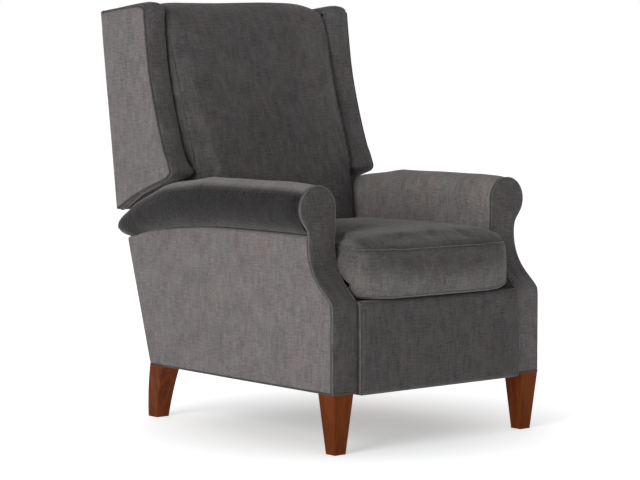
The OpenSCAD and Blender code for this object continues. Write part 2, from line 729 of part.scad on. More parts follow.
// Outside back: a thin padded panel over the full width, and a skirt between the arms
module outside_back() {
    low = wing_low_z + 2;
    high = slab_top;
    color(fabric_side) placed() intersection() {
        side_plate(wing_out, 2 * wing_out) polygon([
            [post_rear(low) + seal_gap, low], [rear_y(low) - 3, low], [rear_y(low + 4), low + 4],
            [rear_y(high - 5), high - 5], [rear_y(high) - 4, high], [post_rear(high) + seal_gap, high]]);
        translate([0, back_end + 50, 0]) rotate([90, 0, 0]) linear_extrude(400)
            polygon(round_box(-wing_out, low - 1, wing_out, high + 1, 9, 4));
    }
}

module outside_back_skirt() {
    join = wing_low_z + 1;
    color(fabric_side) placed() side_plate(moving_half, 2 * moving_half) polygon([
        skirt_front[0], [heel_y(skirt_z) - 4, skirt_z], [heel_y(skirt_z + 4), skirt_z + 4],
        [heel_y(bend_z - 12), bend_z - 12], [rear_y(join - 30) - 2, join - 30], [rear_y(join), join],
        skirt_front[2], skirt_front[1]]);
}

// Footrest linkage
module drive_links() {
    color(steel) placed() both_sides() difference() {
        side_plate(drive_x, steel_t) difference() {
            link_shape(drive_pin, drive_end, link_w);
            hole_at(drive_pin, pin_r + run_gap);
            hole_at(drive_end, pin_r + run_gap);
        }
    }
}

module drive_tube() {
    inner = drive_x - steel_t - head_t - seal_gap;
    color(steel) placed() difference() {
        union() {
            cross_bar(drive_pin, -inner, inner, tube_r);
            both_sides() side_plate(drive_x - steel_t, steel_t) difference() {
                link_shape(drive_pin, drive_pin + [0, 0.01], 2 * tube_r + 6);
                hole_at(drive_pin, head_r + seal_gap);
            }
        }
        cross_bar(drive_pin, -inner - 1, inner + 1, tube_r - 2);
    }
}

module drive_link_pins() {
    color(pin_steel) placed() both_sides() loop_pin(drive_end, long_x - steel_t, drive_x);
}

// Pin between two neighbouring layers, with a collar that keeps them apart
module loop_pin(p, x0, x1) {
    headed_pin(p, x0, x1);
    cross_bar(p, x0 + steel_t + 0.2, x1 - steel_t - 0.2, head_r);
}

module cross_links() {
    color(steel) placed() both_sides() side_plate(drive_x, steel_t) difference() {
        union() {
            link_shape(cross_pin, cross_end, link_w);
            hole_at(cross_mid, loop_boss_r);
        }
        hole_at(cross_pin, pin_r + run_gap);
        hole_at(cross_mid, pin_r + loop_gap);
        hole_at(cross_end, pin_r + run_gap);
    }
}

module cross_link_pins() {
    color(pin_steel) placed() both_sides() loop_pin(cross_end, drive_x - steel_t, stay_x);
}

module long_links() {
    color(steel) placed() both_sides() side_plate(long_x, steel_t) difference() {
        union() {
            link_shape(drive_end, cross_mid, link_w - 2);
            link_shape(cross_mid, foot_high, link_w - 2);
        }
        for (p = [drive_end, cross_mid, foot_high]) hole_at(p, pin_r + run_gap);
    }
}

module long_link_pins() {
    color(pin_steel) placed() both_sides() {
        cross_bar(cross_mid, long_x - steel_t - head_t, drive_x, pin_r);
        cross_bar(cross_mid, long_x - steel_t - head_t, long_x - steel_t, head_r);
        cross_bar(cross_mid, long_x, drive_x - steel_t - 0.5, head_r);
    }
}

module stay_links() {
    color(steel) placed() both_sides() side_plate(stay_x, steel_t) difference() {
        union() {
            link_shape(cross_end, foot_low, link_w - 2);
            hole_at(foot_low, loop_boss_r);
        }
        hole_at(cross_end, pin_r + run_gap);
        hole_at(foot_low, pin_r + loop_gap);
    }
}

module footrest_brackets() {
    back = board_y + board_t;
    color(steel) placed() both_sides() difference() {
        union() {
            side_plate(drive_x, steel_t) union() {
                polygon([[back, foot_low[1] - 22], [foot_low[0], foot_low[1] - 10],
                         [foot_low[0] + 10, foot_low[1]], [foot_high[0] + 10, foot_high[1]],
                         [foot_high[0], foot_high[1] + 10], [back, foot_high[1] + 22]]);
                hole_at(foot_low, 10);
                hole_at(foot_high, 10);
            }
            translate([drive_x - flange_w, back, foot_low[1] - 22])
                cube([flange_w - steel_t / 2, steel_t - 1, foot_high[1] - foot_low[1] + 44]);
        }
        for (p = [foot_low, foot_high])
            cross_bar(p, drive_x - steel_t - 5, drive_x + 5, pin_r + run_gap);
    }
}

module footrest_bracket_pins() {
    color(pin_steel) placed() both_sides() {
        loop_pin(foot_high, long_x - steel_t, drive_x);
        cross_bar(foot_low, drive_x - steel_t - head_t, stay_x, pin_r);
        cross_bar(foot_low, drive_x - steel_t - head_t, drive_x - steel_t, head_r);
        cross_bar(foot_low, drive_x, stay_x - steel_t - 0.5, head_r);
    }
}

module footrest_board() {
    color(plain_wood) placed() translate([-moving_half + 6, board_y, leg_h + 6])
        cube([2 * moving_half - 12, board_t, foot_top - leg_h - 12]);
}

module footrest_pad() {
    steps = [[0, 0], [footpad_t * 0.55, 0], [footpad_t * 0.8, 3], [footpad_t * 0.94, 10], [footpad_t, 26]];
    color(fabric) placed() skin([for (i = [4 : -1 : 0]) let (d = steps[i][1])
        ring_y(round_box(-moving_half + d, leg_h + d, moving_half - d, foot_top - d, 8, 4),
               board_y - steps[i][0])]);
}

color(plain_wood) placed() mirror([1, 0, 0]) arm_panel();  // left_arm_panel
color(plain_wood) placed() arm_panel();  // right_arm_panel
color(fabric_side) placed() mirror([1, 0, 0]) arm_cover();  // left_arm_cover
color(fabric_side) placed() arm_cover();  // right_arm_cover
color(fabric) placed() mirror([1, 0, 0]) arm_facing();  // left_arm_facing
color(fabric) placed() arm_facing();  // right_arm_facing
color(stained_wood) placed() mirror([1, 0, 0]) front_leg_piece();  // front_left_leg
color(stained_wood) placed() front_leg_piece();  // front_right_leg
color(stained_wood) placed() mirror([1, 0, 0]) rear_leg_piece();  // rear_left_leg
color(stained_wood) placed() rear_leg_piece();  // rear_right_leg
leg_bolts();
front_rail();
rear_rail();
lower_rear_panel();
color(steel) placed() mirror([1, 0, 0]) mounting_rail();  // left_mounting_rail
color(steel) placed() mounting_rail();  // right_mounting_rail
mounting_pins();
front_swing_links();
rear_swing_links();
color(steel) placed() mirror([1, 0, 0]) seat_plate();  // left_seat_plate
color(steel) placed() seat_plate();  // right_seat_plate
seat_plate_pins();
seat_cross_tube();
seat_side_rails();
seat_cross_rails();
seat_springs();
seat_deck();
seat_cushion();
back_posts();
back_rails();
back_brackets();
back_springs();
back_cushion();
color(fabric_side) placed() mirror([1, 0, 0]) wing_cover();  // left_wing
color(fabric_side) placed() wing_cover();  // right_wing
color(plain_wood) placed() mirror([1, 0, 0]) wing_panel();  // left_wing_panel
color(plain_wood) placed() wing_panel();  // right_wing_panel
outside_back();
outside_back_skirt();
drive_links();
drive_tube();
drive_link_pins();
cross_links();
cross_link_pins();
long_links();
long_link_pins();
stay_links();
footrest_brackets();
footrest_bracket_pins();
footrest_board();
footrest_pad();
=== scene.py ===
import math

import bpy
import bmesh
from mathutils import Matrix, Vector, noise
from mathutils.bvhtree import BVHTree
from mathutils.kdtree import KDTree


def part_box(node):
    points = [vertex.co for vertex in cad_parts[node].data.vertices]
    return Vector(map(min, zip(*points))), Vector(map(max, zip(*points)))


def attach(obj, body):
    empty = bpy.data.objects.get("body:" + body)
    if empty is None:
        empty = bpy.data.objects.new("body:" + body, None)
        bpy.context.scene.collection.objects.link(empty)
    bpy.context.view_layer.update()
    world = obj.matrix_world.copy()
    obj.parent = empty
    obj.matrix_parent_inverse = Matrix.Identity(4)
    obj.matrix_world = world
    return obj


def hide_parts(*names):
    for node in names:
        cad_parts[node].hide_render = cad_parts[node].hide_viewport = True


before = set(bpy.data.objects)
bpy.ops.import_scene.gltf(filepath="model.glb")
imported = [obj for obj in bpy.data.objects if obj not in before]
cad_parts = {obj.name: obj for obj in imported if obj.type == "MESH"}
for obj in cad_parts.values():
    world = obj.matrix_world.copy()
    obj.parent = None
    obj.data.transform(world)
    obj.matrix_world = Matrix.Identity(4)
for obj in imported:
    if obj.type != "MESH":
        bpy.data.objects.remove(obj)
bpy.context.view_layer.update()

# The stand: a pale studio floor that glows, least under the chair, where its weaker glow paints the soft
# shadow there, and more further out, so that it runs out to white; one large soft light low on the left of
# the chair, a weak one in front and white surroundings. The camera stands where the photograph was taken
# from.
scene = bpy.context.scene
scene.view_settings.view_transform = "Standard"
camera = bpy.data.objects.new("camera", bpy.data.cameras.new("camera"))
scene.collection.objects.link(camera)
camera.data.sensor_fit = "HORIZONTAL"
camera.data.sensor_width = 36.0
camera.data.lens = 127.0
camera.location = (-3.6598, -4.4211, 0.9073)
camera.rotation_euler = (math.radians(90 - 4.445), 0, math.radians(-39.66))
scene.camera = camera

for light_name, at, size, power in [("window_light", (-4.6, -1.5, 2.1), 2.4, 128.0),
                                    ("front_fill", (-0.6, -5.2, 2.2), 3.4, 11.0)]:
    lamp = bpy.data.lights.new(light_name, "AREA")
    lamp.shape = "SQUARE"
    lamp.size = size
    lamp.energy = power
    holder = bpy.data.objects.new(light_name, lamp)
    holder.location = at
    holder.rotation_euler = (Vector(at) - Vector((0, 0, 0.5))).to_track_quat("Z", "Y").to_euler()
    scene.collection.objects.link(holder)


def feed(tree, node, inputs):
    """Sets each of a node's inputs to a value, or joins it to the output that is given for it."""
    for label, value in inputs.items():
        if isinstance(value, bpy.types.NodeSocket):
            tree.links.new(value, node.inputs[label])
        else:
            node.inputs[label].default_value = value


def wire(tree, kind, inputs, **settings):
    """A new shader node of a kind, with its settings and its inputs."""
    node = tree.nodes.new("ShaderNode" + kind)
    for name, value in settings.items():
        setattr(node, name, value)
    feed(tree, node, inputs)
    return node


def band(tree, value, low, high, to_low=0.0, to_high=1.0):
    """Spreads the part of a value between low and high over 0 to 1, or over two other limits."""
    limits = {"Value": value, "From Min": low, "From Max": high, "To Min": to_low, "To Max": to_high}
    return wire(tree, "MapRange", limits).outputs["Result"]


studio_air = bpy.data.worlds.new("studio_air")
studio_air.use_nodes = True
air = studio_air.node_tree
seen = wire(air, "LightPath", {}).outputs["Is Camera Ray"]
strength = band(air, seen, 0.0, 1.0, 0.28)
feed(air, air.nodes["Background"], {"Color": (1.0, 1.0, 1.0, 1.0), "Strength": strength})
scene.world = studio_air

floor_mesh = bpy.data.meshes.new("studio_floor")
shape = bmesh.new()
bmesh.ops.create_circle(shape, cap_ends=True, segments=96, radius=60.0)
shape.to_mesh(floor_mesh)
shape.free()
studio_floor = bpy.data.objects.new("studio_floor", floor_mesh)
studio_floor.location = (-0.05, -0.15, 0)
scene.collection.objects.link(studio_floor)


def material_of(name):
    """A new material, its node tree and its Principled shader."""
    material = bpy.data.materials.new(name)
    material.use_nodes = True
    return material, material.node_tree, material.node_tree.nodes["Principled BSDF"]


def blend(tree, share, start, end, way="MIX"):
    """The colour at a share of the way from one colour to another."""
    sockets = {"Factor": share, "A": start, "B": end}
    return wire(tree, "Mix", sockets, data_type="RGBA", blend_type=way).outputs["Result"]


floor_paint, tree, paint = material_of("floor_paint")
place = wire(tree, "TexCoord", {}).outputs["Object"]
scuffs = wire(tree, "TexNoise", {"Vector": place, "Scale": 3.0, "Detail": 4.0}).outputs["Fac"]
away = wire(tree, "VectorMath", {0: place}, operation="LENGTH").outputs["Value"]
# Painted shadow and glow: the floor's emission grows with distance from the chair, so the floor is darkest
# under the chair and white further out.
reach = {"Value": away, "From Min": 0.15, "From Max": 0.85, "To Min": 0.39, "To Max": 0.85}
painted_floor_glow = wire(tree, "MapRange", reach, interpolation_type="SMOOTHSTEP").outputs["Result"]
feed(tree, paint, {"Base Color": blend(tree, scuffs, (0.845, 0.866, 0.872, 1), (0.885, 0.898, 0.902, 1)),
                   "Roughness": 0.6, "Specular IOR Level": 0.25,
                   "Emission Strength": painted_floor_glow, "Emission Color": (1.0, 1.0, 1.0, 1.0)})
floor_mesh.materials.append(floor_paint)

# Outside arm panels: grey chenille over a layer of wadding, stapled to the arm frame and turned under at the
# bottom. They take the paler copy of the chenille, painted light for the side that faces the lamp. Their
# front edge follows the ogee of the arm front, their top edge tucks in under the roll.
front_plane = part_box("left_arm_facing")[0].y + 0.017    # where y = 0 of the chair's own drawing lies


def group_of(name, takes):
    """A shader node group that takes sockets, given as (name, type, value), and gives a colour, a roughness
    and a height: the group, what its input node holds, and its output node."""
    group = bpy.data.node_groups.new(name, "ShaderNodeTree")
    for label, kind, value in takes:
        socket = group.interface.new_socket(name=label, in_out="INPUT", socket_type="NodeSocket" + kind)
        if value is not None:
            socket.default_value = value
    for label, kind in (("Color", "Color"), ("Roughness", "Float"), ("Height", "Float")):
        group.interface.new_socket(name=label, in_out="OUTPUT", socket_type="NodeSocket" + kind)
    return group, group.nodes.new("NodeGroupInput").outputs, group.nodes.new("NodeGroupOutput")


def cloudy(tree, place, stretch, detail, rough=0.5, twist=0.0):
    """Noise over a place that is stretched along each axis."""
    drawn = wire(tree, "VectorMath", {0: place, 1: stretch}, operation="MULTIPLY").outputs["Vector"]
    sockets = {"Vector": drawn, "Scale": 1.0, "Detail": detail, "Roughness": rough, "Distortion": twist}
    return wire(tree, "TexNoise", sockets).outputs["Fac"]


def add_up(tree, *parts):
    """The sum of values, each times its weight."""
    total = None
    for value, weight in parts:
        part = wire(tree, "Math", {0: value, 1: weight}, operation="MULTIPLY").outputs["Value"]
        total = part if total is None else wire(tree, "Math", {0: total, 1: part}).outputs["Value"]
    return total


def chenille_effect():
    """Slubbed chenille: uneven yarns both ways, dark specks between them and slow shifts of hue."""
    group, given, result = group_of("chenille", [
        ("Cloth", "Vector", None), ("Pale", "Color", (0.2, 0.2, 0.2, 1)),
        ("Deep", "Color", (0.05, 0.05, 0.05, 1)), ("Mottle", "Float", 0.5)])

    def yarns(across, along, detail, low, high):
        return band(group, cloudy(group, given["Cloth"], (across, along, 1.0), detail, 0.6), low, high)

    slub = add_up(group, (yarns(30.0, 330.0, 2.0, 0.36, 0.64), 1.0),
                  (yarns(330.0, 24.0, 2.0, 0.36, 0.64), 1.0))
    fine = add_up(group, (yarns(150.0, 1100.0, 1.0, 0.3, 0.7), 1.0),
                  (yarns(1100.0, 150.0, 1.0, 0.3, 0.7), 1.0))
    cloud = yarns(13.0, 15.0, 3.0, 0.32, 0.68)
    patch = yarns(64.0, 20.0, 2.0, 0.34, 0.66)
    pits = yarns(150.0, 260.0, 1.0, 0.60, 0.70)
    flecks = yarns(60.0, 430.0, 1.0, 0.59, 0.72)
    tone = add_up(group, (slub, 0.27), (fine, 0.07), (cloud, 0.22), (patch, 0.24), (pits, -0.38),
                  (flecks, 0.30))
    greys = blend(group, band(group, tone, 0.0, 1.0), given["Deep"], given["Pale"])

    # slow shifts between a warm plum and a cold green grey
    drift = yarns(9.0, 7.0, 2.0, 0.35, 0.65)
    tint = blend(group, drift, (1.05, 0.975, 0.985, 1), (0.975, 1.0, 1.005, 1))
    feed(group, result, {"Color": blend(group, given["Mottle"], greys, tint, "MULTIPLY"),
                         "Roughness": band(group, tone, 0.0, 1.0, 0.95, 0.80),
                         "Height": add_up(group, (slub, 0.5), (fine, 0.35), (pits, -1.0))})
    return group


chenille_group = chenille_effect()


def surface_finish(name, effect, takes, strength, depth, sockets, limits=None):
    """A material in an effect's colours, roughness and relief. takes(tree) gives what the effect is fed
    with, sockets are the shader's own, and limits spread the roughness between two values."""
    material, tree, surface = material_of(name)
    look = wire(tree, "Group", takes(tree), node_tree=effect).outputs
    raised = wire(tree, "Bump", {"Strength": strength, "Distance": depth, "Height": look["Height"]})
    rough = band(tree, look["Roughness"], 0.0, 1.0, *limits) if limits else look["Roughness"]
    feed(tree, surface, {"Base Color": look["Color"], "Roughness": rough, "Normal": raised.outputs["Normal"]})
    feed(tree, surface, sockets)
    return material


def chenille(name, pale, deep, sheen=0.22):
    """The chair's chenille in one tone; pale and deep are its two yarn greys. Each copy's tone is painted
    light or painted shade for the pieces that take it.
    """
    def takes(tree):
        cut = wire(tree, "UVMap", {}, uv_map="cloth").outputs["UV"]
        return {"Cloth": cut, "Pale": (*pale, 1), "Deep": (*deep, 1), "Mottle": 0.8}

    return surface_finish(name, chenille_group, takes, strength=0.55, depth=0.0012, sockets={
        "Specular IOR Level": 0.12, "Sheen Weight": sheen, "Sheen Roughness": 0.38,
        "Sheen Tint": (0.92, 0.89, 0.88, 1)})


# Painted light and shade: a paler copy of the chenille for pieces on the lamp's side, and a darker copy for
# the outside back, the skirt, the lower rear panel, the seat's front border and the hems.
lit_chenille = chenille("chenille_painted_lit", (0.197, 0.183, 0.180), (0.078, 0.072, 0.071))
shaded_chenille = chenille("chenille_painted_shade", (0.100, 0.095, 0.093), (0.032, 0.030, 0.030))


def dress(name, points, faces, flat, material, body, crease=50.0):
    """A piece of the chair from points in its own drawing, with its cut laid out as the UV map "cloth"."""
    mesh = bpy.data.meshes.new(name)
    mesh.from_pydata([(x, y + front_plane, z) for x, y, z in points], [], faces)
    shape = bmesh.new()
    shape.from_mesh(mesh)
    bmesh.ops.recalc_face_normals(shape, faces=shape.faces)
    shape.to_mesh(mesh)
    shape.free()
    cut = mesh.uv_layers.new(name="cloth")
    for corner in mesh.loops:
        cut.data[corner.index].uv = flat[corner.vertex_index]
    mesh.polygons.foreach_set("use_smooth", [True] * len(mesh.polygons))
    mesh.set_sharp_from_angle(angle=math.radians(crease))
    mesh.materials.append(material)
    piece = bpy.data.objects.new(name, mesh)
    scene.collection.objects.link(piece)
    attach(piece, body)
    return piece


def smooth_line(points, steps=6):
    """A rounded line through the points."""
    points = [Vector(p) for p in points]
    line = []
    for i in range(len(points) - 1):
        a, b = points[max(i - 1, 0)], points[i]
        c, d = points[i + 1], points[min(i + 2, len(points) - 1)]
        for k in range(steps):
            t = k / steps
            line.append(0.5 * (2 * b + (c - a) * t + (2 * a - 5 * b + 4 * c - d) * t * t
                               + (3 * b - a - 3 * c + d) * t ** 3))
    return line + [points[-1]]


def length_of(line):
    """How long a line is."""
    return sum((b - a).length for a, b in zip(line, line[1:]))


def limited(share):
    """A share held between 0 and 1."""
    return max(0.0, min(1.0, share))


def walk(line, shares):
    """Points at these shares of a line's length."""
    line = [Vector(p) for p in line]
    total, gone, i, found = length_of(line), 0.0, 0, []
    for share in shares:
        goal = share * total
        while i < len(line) - 2 and gone + (line[i + 1] - line[i]).length < goal:
            gone += (line[i + 1] - line[i]).length
            i += 1
        step = max((line[i + 1] - line[i]).length, 1e-9)
        found.append(line[i].lerp(line[i + 1], limited((goal - gone) / step)))
    return found


def stops(length, roll, pitch):
    """Shares of a length, close together near both ends where an edge rolls over."""
    near = [roll * k for k in (0.0, 0.06, 0.2, 0.42, 0.7, 1.1)]
    count = max(2, round((length - 2 * near[-1]) / pitch))
    inner = [near[-1] + (length - 2 * near[-1]) * k / count for k in range(count + 1)]
    return [d / length for d in near[:-1] + inner + [length - d for d in reversed(near[:-1])]]


def grid_faces(rows, across):
    """Faces of a grid of points that lie row by row."""
    return [(j * across + i, j * across + i + 1, (j + 1) * across + i + 1, (j + 1) * across + i)
            for j in range(rows - 1) for i in range(across - 1)]


def rim_of(rows, across):
    """The points round the edge of such a grid, in their order."""
    return (list(range(across)) + [j * across + across - 1 for j in range(1, rows)]
            + [(rows - 1) * across + i for i in range(across - 2, -1, -1)]
            + [j * across for j in range(rows - 2, 0, -1)])


def padded_panel(name, edges, place, material, body, thick, roll, crown, pitch, creases=0.0, under=0.0):
    """A panel of cloth over padding. edges are its bottom, top, left and right lines, each from the lower or
    left end; place(a, b, h) puts a point of the cut, h above the frame, into the chair. The panel is thick
    from roll inside its edge on, higher by crown in the middle, and its edge is turned in to height under."""
    bottom, top, left, right = [[Vector(p) for p in line] for line in edges]
    wide = (length_of(bottom) + length_of(top)) / 2
    high = (length_of(left) + length_of(right)) / 2
    us, vs = stops(wide, roll, pitch), stops(high, roll, pitch)
    low, up, near, far = walk(bottom, us), walk(top, us), walk(left, vs), walk(right, vs)
    points, flat = [], []

    def eased(distance):
        e = min(distance / roll, 1.0)
        return math.sqrt(max(0.0, 1 - (1 - e) ** 2))

    for j, v in enumerate(vs):
        for i, u in enumerate(us):
            a = (low[i] * (1 - v) + up[i] * v + near[j] * (1 - u) + far[j] * u
                 - (low[0] * (1 - u) + low[-1] * u) * (1 - v) - (up[0] * (1 - u) + up[-1] * u) * v)
            soft = eased(min(u, 1 - u) * wide) * eased(min(v, 1 - v) * high)
            middle = (16 * u * (1 - u) * v * (1 - v)) ** 0.6
            wave = noise.noise(Vector((a.x * 9, a.y * 9, 3.1)))
            wave += 0.5 * noise.noise(Vector((a.x * 23, a.y * 23, 8.7)))
            h = thick - min(roll, thick) * (1 - soft) + crown * middle + creases * wave * middle
            points.append(place(a.x, a.y, h))
            flat.append((a.x, a.y))
    faces, ring, start = grid_faces(len(vs), len(us)), rim_of(len(vs), len(us)), len(points)
    for k in ring:
        a, b = flat[k]
        points.append(place(a, b, under))
        flat.append((a + 0.004, b + 0.004))
    for k in range(len(ring)):
        after = (k + 1) % len(ring)
        faces.append((ring[k], ring[after], start + after, start + k))
    faces.append(tuple(range(start + len(ring) - 1, start - 1, -1)))
    return dress(name, points, faces, flat, material, body)


def tube_faces(rows, around, closed=False, capped=True):
    """Faces of a tube whose points lie row by row round it: capped, left open, or closed into a ring."""
    faces = [(r * around + k, r * around + (k + 1) % around,
              (r + 1) % rows * around + (k + 1) % around, (r + 1) % rows * around + k)
             for r in range(rows if closed else rows - 1) for k in range(around)]
    if capped and not closed:
        faces += [tuple(range(around)), tuple(range((rows - 1) * around, rows * around))]
    return faces


def welt(name, path, thick, material, body, closed=False, pitch=0.007):
    """A self-welt: a strip of the same cloth sewn round a thin cord, along a path."""
    line = [Vector(p) for p in path]
    if closed:
        line = line + [line[0]]
    count = max(4, round(length_of(line) / pitch))
    line = walk(line, [k / count for k in range(count + 1)])
    if closed:
        line = line[:-1]
    n, sides, points, flat = len(line), 8, [], []
    across, gone = None, 0.0
    for i, p in enumerate(line):
        before = line[(i - 1) % n] if closed or i else line[0]
        after = line[(i + 1) % n] if closed or i < n - 1 else line[-1]
        ahead = (after - before).normalized()
        across = ahead.orthogonal() if across is None else across - ahead * across.dot(ahead)
        across.normalize()
        other = ahead.cross(across)
        gone += (p - line[i - 1]).length if i else 0.0
        swell = thick * (1 + 0.06 * noise.noise(Vector((gone * 60, 0.3, 0.9))))
        for k in range(sides):
            turn = 2 * math.pi * k / sides
            points.append(p + (across * math.cos(turn) + other * math.sin(turn)) * swell)
            flat.append((gone, swell * turn))
    return dress(name, points, tube_faces(n, sides, closed), flat, material, body)


ogee = smooth_line([(-0.017, 0.3), (-0.0165, 0.345), (-0.0125, 0.3567), (0.0075, 0.3752), (0.0285, 0.3938),
                    (0.045, 0.4128), (0.0565, 0.4322), (0.0640, 0.4518), (0.0680, 0.4717), (0.0690, 0.4918),
                    (0.0675, 0.5124), (0.0667, 0.5334)], 4)


def arm_front(z):
    """How far back the front of the arm is at a height."""
    if z <= ogee[0].y:
        return ogee[0].x
    for a, b in zip(ogee, ogee[1:]):
        if z <= b.y:
            return a.x + (b.x - a.x) * (z - a.y) / max(b.y - a.y, 1e-6)
    return ogee[-1].x


underside, hem_height = 0.1435, 0.1445    # where the body's cloth ends, and its hems' middle
heel = math.tan(math.radians(17.3))
neck_line = smooth_line([(0.080, 0.508), (0.20, 0.5095), (0.413, 0.5095), (0.50, 0.507), (0.593, 0.500),
                         (0.70, 0.488), (0.775, 0.472), (0.812, 0.463)], 5)
lower_front = [Vector((arm_front(z) + 0.013, z)) for z in [underside + 0.3645 * k / 40 for k in range(41)]]
for side, hand in ((-1, "left"), (1, "right")):
    outside_panel = padded_panel(
        f"{hand}_arm_outside_panel",
        [[lower_front[0], (0.719, underside)], [lower_front[-1]] + neck_line[1:], lower_front,
         [(0.719, underside), (0.814, 0.452), (0.816, 0.463)]],
        lambda a, b, h: (side * (0.3080 + h), a, b), lit_chenille, "base",
        thick=0.0240, roll=0.007, crown=0.0022, pitch=0.016, creases=0.0007)
    welt(f"{hand}_arm_bottom_hem", [(side * 0.3315, -0.006, hem_height), (side * 0.3315, 0.35, 0.1440),
                                    (side * 0.3310, 0.715, hem_height)], 0.0021, shaded_chenille, "base")

# Arm rolls and inside arms: one length of chenille pulled over cotton and foam, round the roll, down the
# inside of the arm and under the seat. The roll's rear end turns in towards the back. The outer half of the
# roll is painted dark, as painted shade, and its inner half and the inside arm are painted pale, as painted
# light.
def paint_light_share(cloth, pale, deep):
    """Paints light and shade from the "light_share" value of a piece's points: 0 shows these two greys, 1 its
    own.
    """
    tree = cloth.node_tree
    weave = next(node for node in tree.nodes if node.type == "GROUP")
    # lie is each point's share of painted light.
    lie = wire(tree, "Attribute", {}, attribute_name="light_share").outputs["Fac"]
    for label, other in (("Pale", pale), ("Deep", deep)):
        own = tuple(weave.inputs[label].default_value)
        feed(tree, weave, {label: blend(tree, lie, (*other, 1), own)})
    return cloth


def lay_light_share(piece, values):
    """Gives each point of a piece its "light_share" value: how much painted light it takes."""
    piece.data.attributes.new("light_share", "FLOAT", "POINT").data.foreach_set("value", values)


def ease(share):
    """Eases a share from 0 to 1, and holds it at both ends."""
    share = limited(share)
    return share * share * (3 - 2 * share)


# The arm's own pale tone is painted light, the dark tone mixed in is painted shade.
arm_cloth = paint_light_share(chenille("chenille_arm", (0.285, 0.268, 0.258), (0.110, 0.104, 0.100), sheen=0.28),
                  (0.026, 0.0245, 0.0245), (0.006, 0.0056, 0.0056))
arm_top_line = [(0.067, 0.6225), (0.12, 0.6285), (0.19, 0.631), (0.48, 0.631), (0.53, 0.623), (0.614, 0.615),
                (0.657, 0.606), (0.775, 0.560), (0.857, 0.512), (0.892, 0.490)]
arm_neck_line = [(0.067, 0.5065), (0.20, 0.5080), (0.412, 0.508), (0.593, 0.498), (0.737, 0.481),
                 (0.806, 0.464), (0.892, 0.457)]
arm_rear_line = [(underside, 0.717), (0.452, 0.812), (0.463, 0.819), (0.470, 0.848), (0.485, 0.868),
                 (0.505, 0.875), (0.70, 0.879)]
inside_levels = 14    # rows of points down the inside arm, from the roll to the underside


def read(line, at):
    """The value of a line of (place, value) pairs at a place."""
    if at <= line[0][0]:
        return line[0][1]
    for (a, u), (b, v) in zip(line, line[1:]):
        if at <= b:
            return u + (v - u) * (at - a) / (b - a)
    return line[-1][1]


def arm_section(y):
    """Cross-section of the arm, from the neck outside, over the roll and down to the seat, as (x, z)."""
    turned_in = 1 - math.sqrt(1 - limited((y - 0.812) / 0.072) ** 2)
    top, neck = read(arm_top_line, y), read(arm_neck_line, y)
    stand_out = read([(0.067, 0.0275), (0.13, 0.031), (0.572, 0.034), (0.737, 0.026), (0.892, 0.012)], y)
    out = 0.334 + stand_out - 0.048 * turned_in
    near = 0.2565 + 0.020 * turned_in
    high, wide = (top - neck) / 2, (out - near) / 2
    x, z = near + wide, neck + high
    ring = [(min(0.322, out - 0.012), neck + 0.003)]
    for turn in range(-66, 181, 9):
        ring.append((x + wide * math.cos(math.radians(turn)), z + high * math.sin(math.radians(turn))))
    inside = [z - k * (z - 0.30) / 12 for k in range(1, inside_levels - 1)] + [0.22, 0.145]
    return (ring + [(near, level) for level in inside]
            + [(near + 0.04, min(level, neck - 0.02)) for level in reversed(inside)])


shares = ([0, 0.006, 0.018, 0.04] + [0.07 + 0.68 * k / 26 for k in range(27)]
          + [0.775, 0.80, 0.825, 0.85, 0.872, 0.89, 0.908, 0.925, 0.94, 0.955, 0.968, 0.980, 0.990]
          + [0.997, 1.0])
for side, hand in ((-1, "left"), (1, "right")):
    points, flat, light_share, rows = [], [], [], len(shares)
    for share in shares:
        ring, gone = arm_section(0.093 + share * 0.786), 0.0
        count = len(ring)
        outer = count - 2 * inside_levels
        for k, (x, z) in enumerate(ring):
            front, rear = arm_front(z) + 0.0125, read(arm_rear_line, z)
            here = front + share * (rear - front)
            top_half = limited((z - 0.50) / 0.03) if k < outer else 0.0
            folds = 0.0011 * noise.noise(Vector((here * 11, z * 13, 1.7 + side)))
            squeeze = 0.0035 * math.exp(-((here - front) / 0.010) ** 2) * top_half
            middle_x, middle_z = (x - 0.313), (z - 0.57)
            size = max(math.hypot(middle_x, middle_z), 1e-6)
            push = (folds - squeeze) * top_half
            points.append((side * (x + push * middle_x / size), here, z + push * middle_z / size))
            gone += math.dist(ring[k - 1], ring[k]) if k else 0.0
            flat.append((here, gone))
            # The outer half of each ring, up to the top of the roll, takes the painted shade, the rest the
            # painted light.
            light_share.append(ease((k - 12.4) / 2.8))
    faces = tube_faces(rows, count, capped=False)
    for start in (0, (rows - 1) * count):
        last = start + count - 1
        faces.append(tuple(range(start, start + outer + 1)) + (last,))
        faces += [(start + outer + k, start + outer + 1 + k, last - 1 - k, last - k)
                  for k in range(inside_levels - 1)]
    roll = dress(f"{hand}_arm_roll", points, faces, flat, arm_cloth, "base")
    lay_light_share(roll, light_share)
    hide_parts(f"{hand}_arm_cover")

# Arm facings: the flat keyhole fronts of the arms, cut from the same chenille, padded and sewn in with a
# thin self-welt all round. They run down the ogee to the bottom of the body.
# Painted light on the facings: the left copy is darker, as painted shade, the right copy paler, as painted
# light, and palest on its lower shaft.
facing_cloth = {"left": chenille("chenille_left_facing", (0.094, 0.089, 0.087), (0.029, 0.027, 0.027)),
                "right": paint_light_share(
                    chenille("chenille_right_facing", (0.152, 0.144, 0.143), (0.049, 0.046, 0.046)),
                    (0.113, 0.107, 0.106), (0.036, 0.034, 0.034))}
# The welts use a paler copy of the chenille: a painted highlight along each cord and seam.
welt_highlight_cloth = chenille("chenille_welt", (0.142, 0.136, 0.132), (0.064, 0.061, 0.060), sheen=0.32)
roll_x, roll_z, roll_wide, roll_high = 0.308, 0.5715, 0.0528, 0.0535    # middle and half sizes of the round
neck_end = 0.5334    # where the round takes over from the neck on the outer side


